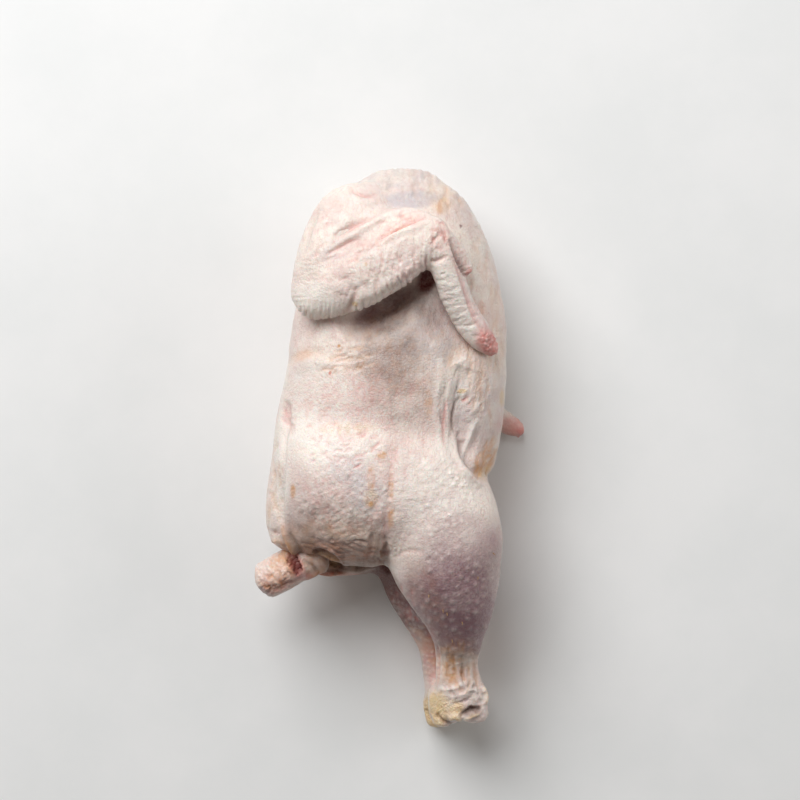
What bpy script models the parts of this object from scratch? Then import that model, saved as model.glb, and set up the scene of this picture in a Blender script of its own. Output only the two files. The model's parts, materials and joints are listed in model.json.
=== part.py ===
"""A whole raw roasting chicken, skin on, lying on its left side.

+Z is up, +Y points to the neck end and +X to the breast, so the back is at -X and the legs point to -Y.
The bird is one solid. Each limb is a loft between oval stations; the lofts are joined, remeshed, relaxed
until the skin runs smoothly from one to the next, pressed into folds and cut flat where the bird rests.
Sizes are in millimetres and become metres where a mesh is made.
"""

import math

import bmesh
import bpy
from mathutils import Vector

NAME = "whole_chicken"
MM = 0.001

# Middle of the bird's box in the plan that the tables below are drawn on
CENTRE_X = -4.3
CENTRE_Y = -33.3

# How finely the skin is made
RING_POINTS = 28
STATION_STEPS = 5
CAP_STEPS = 4
VOXEL = 2.6
RELAX_ROUNDS = 14
FINE_RELAX_ROUNDS = 2
RELAX_FACTOR = 0.5
TRIANGLES = 9800

SKIN_COLOUR = (0.80, 0.66, 0.58, 1.0)
SKIN_ROUGHNESS = 0.42

# Trunk, as (y, back x, breast x, underside z, top z), from the neck end to the vent
TRUNK = (
    (136.0, -20.0, 22.0, 36.0, 80.0),
    (125.0, -37.0, 37.0, 20.0, 96.0),
    (113.0, -46.0, 45.0, 12.0, 104.0),
    (92.0, -56.0, 55.5, 9.0, 107.0),
    (61.0, -63.0, 63.5, 9.0, 104.0),
    (30.0, -68.5, 65.5, 9.0, 107.0),
    (8.0, -71.5, 65.5, 9.0, 108.0),
    (-10.0, -75.5, 64.0, 10.0, 106.0),
    (-26.0, -78.0, 61.5, 11.0, 103.0),
    (-42.0, -80.0, 57.0, 12.0, 101.0),
    (-54.0, -81.5, 44.0, 14.0, 98.0),
    (-70.0, -82.5, 26.0, 18.0, 94.0),
    (-82.0, -81.5, 8.0, 24.0, 89.0),
    (-91.0, -75.0, -4.0, 30.0, 82.0),
)
TRUNK_NECK_CAP = 6.0
TRUNK_VENT_CAP = 4.0
TRUNK_POWER = 2.35

# Limbs, as (x, y, z, half width in plan, half height)
NEAR_THIGH = (
    (-64.0, -48.0, 66.0, 38.0, 26.0),
    (-54.0, -47.0, 68.0, 48.0, 35.0),
    (-38.0, -46.0, 70.0, 54.0, 40.5),
    (-16.0, -47.0, 71.0, 55.0, 41.5),
    (5.0, -50.0, 73.0, 49.0, 38.5),
    (25.0, -55.0, 75.0, 42.0, 34.5),
    (38.0, -60.0, 77.0, 32.0, 29.0),
)
NEAR_DRUMSTICK = (
    (14.0, -42.0, 77.0, 26.0, 24.0),
    (20.0, -56.0, 78.5, 32.5, 28.5),
    (25.0, -72.0, 79.0, 35.5, 30.5),
    (27.0, -87.0, 78.5, 35.5, 31.0),
    (28.0, -98.0, 77.0, 34.0, 30.0),
    (31.0, -110.0, 74.0, 30.5, 27.0),
    (33.2, -122.0, 69.0, 25.8, 23.5),
    (34.8, -134.0, 64.0, 20.8, 19.5),
    (35.5, -147.0, 59.0, 15.5, 15.5),
    (34.8, -157.0, 55.5, 13.0, 12.5),
    (34.6, -165.0, 53.0, 13.2, 12.0),
    (35.6, -174.0, 51.5, 14.6, 12.6),
    (37.2, -184.0, 50.5, 15.2, 13.0),
    (37.2, -193.0, 50.0, 14.2, 12.6),
)
NEAR_KNUCKLES = (
    ((25.0, -181.0, 40.0, 8.5, 16.0), (27.0, -197.0, 38.0, 8.8, 18.0)),
    ((45.5, -178.0, 52.0, 8.0, 9.0), (46.0, -194.5, 51.0, 8.6, 9.0)),
)
FAR_THIGH = (
    (-60.0, -42.0, 48.0, 32.0, 26.0),
    (-46.0, -42.0, 42.0, 46.0, 38.0),
    (-25.0, -42.0, 39.0, 54.0, 41.0),
    (0.0, -46.0, 37.0, 48.0, 39.0),
    (20.0, -52.0, 34.0, 38.0, 35.0),
    (32.0, -56.0, 32.0, 28.0, 29.0),
)
FAR_DRUMSTICK = (
    (12.0, -55.0, 32.0, 33.0, 32.0),
    (15.0, -75.0, 31.0, 35.0, 32.0),
    (17.0, -92.0, 30.0, 34.0, 31.5),
    (18.5, -107.0, 29.0, 32.0, 30.0),
    (19.0, -117.0, 27.0, 28.5, 28.0),
    (20.8, -127.0, 24.0, 24.8, 25.0),
    (22.0, -136.0, 21.5, 20.8, 22.0),
    (24.7, -148.5, 18.0, 15.8, 17.5),
    (26.1, -161.0, 15.5, 13.0, 14.0),
    (27.4, -172.0, 14.0, 12.8, 12.6),
    (30.0, -186.0, 14.0, 14.6, 13.0),
    (30.5, -200.0, 13.5, 13.4, 12.6),
)
FAR_KNUCKLES = (
    ((22.0, -190.0, 13.0, 8.0, 8.5), (24.0, -203.5, 13.0, 8.0, 8.5)),
    ((38.0, -187.0, 14.0, 8.0, 9.0), (37.0, -199.0, 14.0, 7.6, 8.6)),
)
TAIL = (
    (-47.7, -95.5, 57.0, 9.8, 14.0),
    (-61.8, -100.0, 57.0, 11.2, 15.0),
    (-72.8, -105.4, 56.0, 12.2, 15.0),
    (-82.0, -110.6, 55.0, 11.6, 13.0),
)
FLAP = (
    (-60.0, -95.5, 40.0, 9.0, 12.0),
    (-46.0, -101.0, 37.0, 9.5, 11.0),
    (-30.0, -101.5, 36.0, 9.5, 10.0),
    (-14.0, -97.5, 38.0, 9.0, 11.0),
)
NEAR_UPPER_ARM = (
    (-12.0, 111.0, 84.0, 19.0, 19.0),
    (-28.5, 107.0, 90.0, 21.5, 19.0),
    (-39.0, 92.0, 95.0, 20.0, 18.5),
    (-46.0, 76.0, 96.0, 17.5, 17.0),
    (-51.0, 62.0, 96.0, 14.5, 14.5),
)
NEAR_FOREARM = (
    (-50.5, 59.5, 97.0, 13.0, 13.0),
    (-36.0, 66.0, 105.0, 17.0, 14.0),
    (-18.0, 76.0, 111.5, 17.5, 13.0),
    (0.0, 85.5, 115.0, 16.5, 12.0),
    (14.0, 92.5, 116.0, 15.0, 11.0),
    (24.0, 95.0, 115.0, 12.0, 9.5),
)
NEAR_WEB = (
    (-34.0, 92.0, 97.0, 14.0, 15.0),
    (-16.0, 97.0, 101.0, 15.0, 15.5),
    (4.0, 101.0, 105.0, 12.5, 14.0),
    (20.0, 99.0, 108.0, 9.0, 12.0),
)
NEAR_HAND = (
    (21.5, 92.0, 115.0, 11.0, 9.5),
    (25.6, 80.2, 113.0, 9.8, 10.0),
    (29.1, 69.8, 110.5, 9.0, 9.5),
    (33.8, 58.3, 106.5, 8.8, 8.5),
    (40.1, 46.9, 103.0, 8.8, 7.5),
    (47.7, 37.1, 99.0, 8.0, 6.5),
    (55.3, 29.0, 94.5, 4.6, 4.8),
)
NEAR_THUMB = (
    (26.0, 93.0, 112.0, 7.0, 6.5),
    (33.5, 85.0, 109.0, 6.0, 5.5),
    (39.5, 75.5, 105.5, 4.2, 4.2),
)
FAR_UPPER_ARM = (
    (-12.0, 112.0, 30.0, 20.0, 18.0),
    (-28.0, 104.0, 22.0, 20.0, 18.0),
    (-40.0, 86.0, 15.0, 18.0, 15.5),
    (-48.0, 66.0, 12.5, 15.0, 13.5),
)
FAR_FOREARM = (
    (-48.0, 62.0, 12.0, 13.0, 13.0),
    (-32.0, 49.0, 11.0, 17.0, 12.5),
    (-8.0, 31.0, 10.0, 17.0, 12.0),
    (14.0, 14.0, 9.0, 13.0, 10.5),
)
FAR_HAND = (
    (14.0, 13.0, 9.0, 11.0, 9.5),
    (36.0, 2.0, 8.0, 9.5, 7.5),
    (58.0, -9.5, 7.5, 8.5, 6.5),
    (71.0, -16.5, 7.0, 7.0, 5.0),
    (78.0, -20.5, 7.0, 4.6, 4.0),
)

# The cavity at the vent, cut along +Y from outside
CAVITY = (
    (-40.0, -130.0, 57.0, 22.0, 17.0),
    (-39.0, -100.0, 57.0, 21.0, 17.0),
    (-36.0, -80.0, 57.0, 23.0, 20.0),
    (-32.0, -62.0, 57.0, 20.0, 18.0),
    (-30.0, -52.0, 57.0, 12.0, 11.0),
)

# Folds pressed into the upper skin, as (points in plan, reach, depth); a ridge has a depth below nought
FOLDS = (
    (((-6.0, 118.0), (14.0, 118.0)), 8.0, 2.5),
    (((40.0, 20.0), (35.5, -2.0), (36.0, -22.0), (41.0, -46.0)), 8.0, 3.6),
    (((36.5, 4.0), (32.0, -10.0), (33.0, -24.0), (37.0, -40.0)), 3.0, 2.6),
    (((26.0, 14.0), (24.0, -6.0), (27.0, -26.0), (33.0, -46.0)), 4.0, -1.6),
    (((46.0, -8.0), (42.5, -24.0), (39.0, -40.0)), 3.0, -3.2),
    (((-29.0, 48.0), (-17.0, 52.0), (-5.0, 58.0), (7.0, 66.0), (18.0, 75.0)), 8.0, 4.5),
    (((-46.0, 90.0), (-30.0, 97.5), (-12.0, 109.0)), 3.4, 4.0),
    (((-14.0, 94.0), (0.0, 101.0), (15.0, 107.0)), 3.0, 3.2),
    (((14.5, 78.0), (20.5, 61.0), (27.5, 43.5), (42.0, 30.0), (52.0, 23.0)), 3.0, 2.6),
    (((34.0, 90.0), (41.5, 66.5), (50.0, 51.0), (61.0, 36.0)), 3.0, 2.2),
    (((-60.0, -91.0), (-46.0, -97.0), (-34.0, -101.0)), 4.0, 4.0),
    (((-73.0, -6.0), (-69.5, -45.0), (-71.0, -88.0)), 3.5, 3.0),
)
FOLDS_ABOVE = 70.0


def clear_scene():
    for item in list(bpy.data.objects):
        bpy.data.objects.remove(item)


def collection(name):
    made = bpy.data.collections.new(name)
    bpy.context.scene.collection.children.link(made)
    return made


def between(stations, steps):
    """Stations on the smooth curve through the given ones, steps for each span."""
    rows = []
    last = len(stations) - 1
    for index in range(last):
        before, start = stations[max(index - 1, 0)], stations[index]
        end, after = stations[index + 1], stations[min(index + 2, last)]
        for step in range(steps):
            t = step / steps
            rows.append(
                tuple(
                    0.5 * (2 * b + (c - a) * t + (2 * a - 5 * b + 4 * c - d) * t * t + (3 * b - a - 3 * c + d) * t**3)
                    for a, b, c, d in zip(before, start, end, after)
                )
            )
    rows.append(stations[last])
    return rows


def signed_power(value, power):
    return math.copysign(abs(value) ** power, value)


def ring(shape, centre, across, lift, power):
    """An oval ring of edges; across and lift are its half axes, and a power over 2 makes it fuller."""
    points = bmesh.ops.create_circle(shape, cap_ends=False, segments=RING_POINTS, radius=1.0)["verts"]
    for point in points:
        side = signed_power(point.co.x, 2.0 / power)
        rise = signed_power(point.co.y, 2.0 / power)
        point.co = (centre + across * side + lift * rise) * MM
    return list({edge for point in points for edge in point.link_edges})


def dome(end, inner, reach):
    """Shrinking ovals past the end of a loft, nearest first."""
    centre, across, lift = end
    out = (centre - inner[0]).normalized() * reach
    ovals = []
    for step in range(1, CAP_STEPS + 1):
        angle = 0.5 * math.pi * step / (CAP_STEPS + 0.3)
        shrink = math.cos(angle)
        ovals.append((centre + out * math.sin(angle), across * shrink, lift * shrink))
    return ovals


def loft(name, ovals, cap_start, cap_end, power, home):
    """A closed form through ovals, each a centre and two half axes, with a dome on both ends."""
    head = dome(ovals[0], ovals[1], cap_start)
    foot = dome(ovals[-1], ovals[-2], cap_end)
    shape = bmesh.new()
    rings = [ring(shape, *row, power) for row in head[::-1] + ovals + foot]
    for one, other in zip(rings, rings[1:]):
        bmesh.ops.bridge_loops(shape, edges=one + other)
    for end in (rings[0], rings[-1]):
        bmesh.ops.edgeloop_fill(shape, edges=end)
    bmesh.ops.recalc_face_normals(shape, faces=shape.faces)
    mesh = bpy.data.meshes.new(name)
    shape.to_mesh(mesh)
    shape.free()
    made = bpy.data.objects.new(name, mesh)
    home.objects.link(made)
    return made


def trunk(home):
    ovals = []
    for y, back, breast, low, high in between(TRUNK, STATION_STEPS):
        centre = Vector(((back + breast) / 2, y, (low + high) / 2))
        across = Vector(((breast - back) / 2, 0.0, 0.0))
        lift = Vector((0.0, 0.0, (high - low) / 2))
        ovals.append((centre, across, lift))
    return loft("trunk", ovals, TRUNK_NECK_CAP, TRUNK_VENT_CAP, TRUNK_POWER, home)


def limb(name, stations, home, cap_start=4.0, cap_end=4.0, power=2.0):
    """A loft along a limb; each oval stands square to the limb's line, with its width level."""
    rows = between(stations, STATION_STEPS)
    line = [Vector(row[:3]) for row in rows]
    ovals = []
    for index, row in enumerate(rows):
        ahead = line[min(index + 1, len(line) - 1)] - line[max(index - 1, 0)]
        across = Vector((0.0, 0.0, 1.0)).cross(ahead).normalized()
        lift = ahead.cross(across).normalized()
        ovals.append((line[index], across * row[3], lift * row[4]))
    return loft(name, ovals, cap_start, cap_end, power, home)


def forms(home):
    """Every limb and the tail, each a closed form that runs into its neighbour."""
    limb("near_thigh", NEAR_THIGH, home, 8.0, 8.0)
    limb("near_drumstick", NEAR_DRUMSTICK, home, 8.0, 3.0)
    limb("far_thigh", FAR_THIGH, home, 8.0, 8.0)
    limb("far_drumstick", FAR_DRUMSTICK, home, 8.0, 4.0)
    for index, stations in enumerate(NEAR_KNUCKLES + FAR_KNUCKLES):
        limb(f"knuckle_{index}", stations, home, 4.0, 4.5)
    limb("tail", TAIL, home, 4.0, 6.0)
    limb("flap", FLAP, home, 4.0, 6.0)
    limb("near_upper_arm", NEAR_UPPER_ARM, home, 6.0, 12.0)
    limb("near_forearm", NEAR_FOREARM, home, 12.0, 6.0)
    limb("near_web", NEAR_WEB, home, 3.0, 3.0)
    limb("near_hand", NEAR_HAND, home, 5.0, 2.5)
    limb("near_thumb", NEAR_THUMB, home, 3.0, 2.0)
    limb("far_upper_arm", FAR_UPPER_ARM, home, 6.0, 11.0)
    limb("far_forearm", FAR_FOREARM, home, 12.0, 8.0)
    limb("far_hand", FAR_HAND, home, 5.0, 2.5)


def take_evaluated(item):
    """Bakes an object's modifiers into its mesh."""
    graph = bpy.context.evaluated_depsgraph_get()
    mesh = bpy.data.meshes.new_from_object(item.evaluated_get(graph))
    item.modifiers.clear()
    item.data = mesh


def joined(home):
    """The trunk with every other form joined to it and the cavity cut."""
    helpers = collection("forms")
    forms(helpers)
    body = trunk(home)
    body.name = NAME
    union = body.modifiers.new("join", "BOOLEAN")
    union.operation = "UNION"
    union.operand_type = "COLLECTION"
    union.collection = helpers
    union.solver = "EXACT"
    take_evaluated(body)
    cutter = limb("cavity", CAVITY, helpers, 1.0, 5.0)
    hollow = body.modifiers.new("cavity", "BOOLEAN")
    hollow.operation = "DIFFERENCE"
    hollow.object = cutter
    hollow.solver = "EXACT"
    take_evaluated(body)
    for item in list(helpers.objects):
        bpy.data.objects.remove(item)
    bpy.data.collections.remove(helpers)
    return body


def place_on(point, line):
    """How far a point is from a line of straight runs in plan, and its place along it, from 0 to 1."""
    length = sum((Vector(end) - Vector(start)).length for start, end in zip(line, line[1:]))
    nearest, place, passed = math.inf, 0.0, 0.0
    for start, end in zip(line, line[1:]):
        run = Vector(end) - Vector(start)
        share = max(0.0, min(1.0, (point - Vector(start)).dot(run) / run.length_squared))
        away = (point - Vector(start) - run * share).length
        if away < nearest:
            nearest, place = away, (passed + share * run.length) / length
        passed += run.length
    return nearest, place


def is_fine(point):
    """Whether a point lies on a thin form, which long relaxing would shrink."""
    x, y, z = point / MM
    hand = x > 24.0 and y > 20.0 and z > 88.0
    far_tip = x > 52.0 and z < 20.0
    hock = y < -150.0
    return hand or far_tip or hock


def relax(shape):
    """Smooths the skin where forms meet, and only a little on thin forms."""
    shape.verts.ensure_lookup_table()
    broad = [vertex for vertex in shape.verts if not is_fine(vertex.co)]
    for step in range(RELAX_ROUNDS):
        chosen = shape.verts if step < FINE_RELAX_ROUNDS else broad
        bmesh.ops.smooth_vert(
            shape, verts=list(chosen), factor=RELAX_FACTOR, use_axis_x=True, use_axis_y=True, use_axis_z=True
        )


def press_folds(shape):
    """Moves the skin in along each fold, deepest halfway along it."""
    shape.normal_update()
    for line, reach, depth in FOLDS:
        for vertex in shape.verts:
            if vertex.co.z < FOLDS_ABOVE * MM or vertex.normal.z < 0.0:
                continue
            away, place = place_on(vertex.co.xy / MM, line)
            away /= reach
            if away < 2.5:
                vertex.co -= vertex.normal * (depth * MM * math.sin(math.pi * place) * math.exp(-away * away))


def cut_flat(shape):
    """Takes off what lies below the counter and closes the cut."""
    everything = list(shape.verts) + list(shape.edges) + list(shape.faces)
    bmesh.ops.bisect_plane(shape, geom=everything, plane_co=(0, 0, 0), plane_no=(0, 0, 1), clear_inner=True)
    rim = [edge for edge in shape.edges if edge.is_boundary]
    bmesh.ops.holes_fill(shape, edges=rim, sides=0)
    bmesh.ops.triangulate(shape, faces=shape.faces)


def thin_out(body):
    """Brings the mesh down to its number of triangles, most of them where it curves."""
    fewer = body.modifiers.new("fewer", "DECIMATE")
    fewer.ratio = TRIANGLES / (2 * len(body.data.vertices))
    fewer.use_collapse_triangulate = True
    take_evaluated(body)


def dress(body):
    skin = bpy.data.materials.new("raw_skin")
    skin.use_nodes = True
    surface = skin.node_tree.nodes["Principled BSDF"]
    surface.inputs["Base Color"].default_value = SKIN_COLOUR
    surface.inputs["Roughness"].default_value = SKIN_ROUGHNESS
    surface.inputs["Metallic"].default_value = 0.0
    skin.diffuse_color = SKIN_COLOUR
    body.data.materials.clear()
    body.data.materials.append(skin)
    body.data.shade_smooth()


def main():
    clear_scene()
    home = collection(NAME)
    body = joined(home)
    even = body.modifiers.new("even", "REMESH")
    even.mode = "VOXEL"
    even.voxel_size = VOXEL * MM
    even.adaptivity = 0.0
    take_evaluated(body)
    shape = bmesh.new()
    shape.from_mesh(body.data)
    relax(shape)
    press_folds(shape)
    bmesh.ops.triangulate(shape, faces=shape.faces)
    shape.to_mesh(body.data)
    shape.free()
    thin_out(body)
    shape = bmesh.new()
    shape.from_mesh(body.data)
    cut_flat(shape)
    bmesh.ops.translate(shape, verts=shape.verts, vec=Vector((-CENTRE_X, -CENTRE_Y, 0.0)) * MM)
    shape.to_mesh(body.data)
    shape.free()
    dress(body)


if __name__ == "__main__":
    main()
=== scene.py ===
"""A raw roasting chicken lying on its left side, with the finish of real skin.

The bird's forms are oval lofts, in the same tables of sizes as its solid. Each piece of skin is remeshed from
them, relaxed, subdivided, creased and tinted, and its material reads the tint masks. The tables of forms are
in millimetres on the counter's plan. Folds and marks are drawn in picture units, on the bird seen from above.
"""

import json
import logging
import math
import random
from dataclasses import dataclass
from enum import Enum
from itertools import product
from typing import ClassVar

import bmesh
import bpy
import numpy as np
from mathutils import Matrix, Vector
from mathutils.bvhtree import BVHTree

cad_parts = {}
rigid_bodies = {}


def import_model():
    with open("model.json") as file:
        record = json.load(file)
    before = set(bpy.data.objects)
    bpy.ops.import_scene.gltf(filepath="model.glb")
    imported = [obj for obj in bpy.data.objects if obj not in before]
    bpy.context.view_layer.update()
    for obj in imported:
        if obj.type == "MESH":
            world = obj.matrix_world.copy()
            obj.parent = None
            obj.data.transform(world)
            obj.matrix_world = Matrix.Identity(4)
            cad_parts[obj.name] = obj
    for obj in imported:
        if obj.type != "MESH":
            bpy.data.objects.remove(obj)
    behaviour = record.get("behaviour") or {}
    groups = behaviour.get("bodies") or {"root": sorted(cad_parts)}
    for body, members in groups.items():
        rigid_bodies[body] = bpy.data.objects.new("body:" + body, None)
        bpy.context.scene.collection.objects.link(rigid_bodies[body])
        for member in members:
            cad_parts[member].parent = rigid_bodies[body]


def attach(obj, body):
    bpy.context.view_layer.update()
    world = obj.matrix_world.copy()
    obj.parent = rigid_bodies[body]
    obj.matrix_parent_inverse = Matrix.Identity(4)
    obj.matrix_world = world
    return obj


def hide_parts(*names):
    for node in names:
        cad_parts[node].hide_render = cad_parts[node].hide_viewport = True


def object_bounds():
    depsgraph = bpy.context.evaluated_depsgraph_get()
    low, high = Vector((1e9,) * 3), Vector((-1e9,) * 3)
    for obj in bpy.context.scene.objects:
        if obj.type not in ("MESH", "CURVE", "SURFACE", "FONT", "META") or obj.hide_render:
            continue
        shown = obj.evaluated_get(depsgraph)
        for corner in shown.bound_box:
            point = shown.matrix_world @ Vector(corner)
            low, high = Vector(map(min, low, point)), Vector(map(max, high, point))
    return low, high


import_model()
SOLID_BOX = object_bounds()

log = logging.getLogger("chicken")

NODE = "whole_chicken"
MM = 0.001
CENTRE = (-4.3, -33.3, 0.0)

RING_POINTS = 28
STATION_STEPS = 5
CAP_STEPS = 4
LINE_STEPS = 5

Row = tuple[float, ...]
Spot = tuple[float, float]
Way = tuple[float, float, float]


class Tint(Enum):
    """What a mask on the skin stands for."""

    BLUSH = "blush"
    STAIN = "stain"
    # Purple bruising, in places laid on as painted shade under the wing and in creases
    BRUISE_AND_SHADE = "bruise_and_shade"
    # Whiter skin, also laid on as painted highlight on lit tops, ridges and the hand
    FAT_AND_HIGHLIGHT = "fat_and_highlight"
    HORN = "horn"
    # Red meat where the skin is cut, also laid on as dark red painted shadow in gaps
    FLESH_AND_SHADOW = "flesh_and_shadow"
    # Brown painted shade in hollows, creases and on sides that the light misses
    PAINTED_SHADE = "painted_shade"
    # Greyish translucent skin, also laid on as painted shade in the flank's hollow
    GLASSY_AND_SHADE = "glassy_and_shade"
    DOTS = "dots"


class Overhead:
    """The view from straight above, in which folds and marks are drawn."""

    height: float = 1250.0
    unit: float = 5.126e-4
    middle: float = 400.0

    @classmethod
    def seen(cls, points: np.ndarray) -> np.ndarray:
        """Where points appear from above.

        Args:
            points: Places on the counter's plan, in millimetres.

        Returns:
            One row of picture units, across and down, for each point.
        """
        scale = cls.unit * (cls.height - points[:, 2])
        return np.column_stack((cls.middle + points[:, 0] / scale, cls.middle - points[:, 1] / scale))


def eased(share: np.ndarray) -> np.ndarray:
    """Softens both ends of a share that runs from 0 to 1."""
    return share * share * (3.0 - 2.0 * share)


class Unevenness:
    """Smooth random unevenness that is the same on each run."""

    @staticmethod
    def at(points: np.ndarray, size: float, seed: int) -> np.ndarray:
        """Gives the unevenness at points.

        Args:
            points: Places in any unit, one row each.
            size: How far apart its swells are, in the same unit.
            seed: Which unevenness.

        Returns:
            A number from -1 to 1 for each point.
        """
        cell = points / size
        base = np.floor(cell).astype(np.int64)
        part = eased(cell - base)
        total = np.zeros(len(points))
        primes = np.array((73856093, 19349663, 83492791)[: points.shape[1]], np.int64)
        for corner in product((0, 1), repeat=points.shape[1]):
            key = (base + np.array(corner)) @ primes + seed * 6542989
            key = (key ^ (key >> 13)) * 1274126177 & 0x7FFFFFFF
            key = (key ^ (key >> 15)) * 2246822519 & 0x7FFFFFFF
            weight = np.prod(np.where(np.array(corner) == 1, part, 1.0 - part), axis=1)
            total += weight * (key / 0x3FFFFFFF - 1.0)
        return total


def between(stations: tuple[Row, ...], steps: int) -> list[Row]:
    """Puts more stations on the smooth curve through the given ones.

    Args:
        stations: Rows of numbers.
        steps: Rows to make for each span.

    Returns:
        The rows, with the given ones among them.
    """
    rows: list[Row] = []
    last = len(stations) - 1
    for index in range(last):
        before, start = stations[max(index - 1, 0)], stations[index]
        end, after = stations[index + 1], stations[min(index + 2, last)]
        for step in range(steps):
            t = step / steps
            rows.append(
                tuple(
                    0.5 * (2 * b + (c - a) * t + (2 * a - 5 * b + 4 * c - d) * t * t
                           + (3 * b - a - 3 * c + d) * t**3)
                    for a, b, c, d in zip(before, start, end, after)
                )
            )
    rows.append(tuple(stations[last]))
    return rows


@dataclass(frozen=True)
class Oval:
    """A section of a form: its middle and its two half axes."""

    middle: Vector
    across: Vector
    lift: Vector

    def domed(self, inner: "Oval", reach: float) -> list["Oval"]:
        """Makes the shrinking ovals of a dome past this end.

        Args:
            inner: The next oval inwards.
            reach: How far the dome stands out.

        Returns:
            The ovals, nearest first.
        """
        out = (self.middle - inner.middle).normalized() * reach
        ovals = []
        for step in range(1, CAP_STEPS + 1):
            angle = 0.5 * math.pi * step / (CAP_STEPS + 0.3)
            shrink = math.cos(angle)
            ovals.append(Oval(self.middle + out * math.sin(angle), self.across * shrink, self.lift * shrink))
        return ovals

    def ring(self, shape: bmesh.types.BMesh, fullness: float) -> list[bmesh.types.BMEdge]:
        """Draws the oval as a ring of edges.

        Args:
            shape: The mesh that gets the ring.
            fullness: 2 for an ellipse, more for a squarer oval.

        Returns:
            The ring's edges.
        """
        points = bmesh.ops.create_circle(shape, cap_ends=False, segments=RING_POINTS, radius=1.0)["verts"]
        for point in points:
            side = math.copysign(abs(point.co.x) ** (2.0 / fullness), point.co.x)
            rise = math.copysign(abs(point.co.y) ** (2.0 / fullness), point.co.y)
            point.co = (self.middle + self.across * side + self.lift * rise) * MM
        return list({edge for point in points for edge in point.link_edges})


@dataclass(frozen=True)
class Form:
    """A closed loft through ovals, with a dome on both ends."""

    name: str
    stations: tuple[Row, ...]
    start_cap: float = 4.0
    end_cap: float = 4.0
    fullness: float = 2.0

    def ovals(self) -> list[Oval]:
        """Draws the form's sections.

        Returns:
            The sections, each square to the form's line and with its width level.
        """
        rows = between(self.stations, STATION_STEPS)
        line = [Vector(row[:3]) for row in rows]
        ovals = []
        for index, row in enumerate(rows):
            ahead = line[min(index + 1, len(line) - 1)] - line[max(index - 1, 0)]
            across = Vector((0.0, 0.0, 1.0)).cross(ahead).normalized()
            lift = ahead.cross(across).normalized()
            ovals.append(Oval(line[index], across * row[3], lift * row[4]))
        return ovals

    def build(self, home: bpy.types.Collection) -> bpy.types.Object:
        """Makes the form.

        Args:
            home: The collection that gets it.

        Returns:
            The form as an object.
        """
        ovals = self.ovals()
        head = ovals[0].domed(ovals[1], self.start_cap)
        foot = ovals[-1].domed(ovals[-2], self.end_cap)
        shape = bmesh.new()
        rings = [oval.ring(shape, self.fullness) for oval in head[::-1] + ovals + foot]
        for one, other in zip(rings, rings[1:]):
            bmesh.ops.bridge_loops(shape, edges=one + other)
        for end in (rings[0], rings[-1]):
            bmesh.ops.edgeloop_fill(shape, edges=end)
        bmesh.ops.recalc_face_normals(shape, faces=shape.faces)
        return Mesher.as_object(self.name, shape, home)


@dataclass(frozen=True)
class Trunk(Form):
    """The bird's trunk, as (y, back x, breast x, underside z, top z) stations."""

    def ovals(self) -> list[Oval]:
        """Draws the trunk's sections.

        Returns:
            The sections, all upright.
        """
        ovals = []
        for y, back, breast, low, high in between(self.stations, STATION_STEPS):
            middle = Vector(((back + breast) / 2, y, (low + high) / 2))
            across, lift = Vector(((breast - back) / 2, 0.0, 0.0)), Vector((0.0, 0.0, (high - low) / 2))
            ovals.append(Oval(middle, across, lift))
        return ovals


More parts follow.
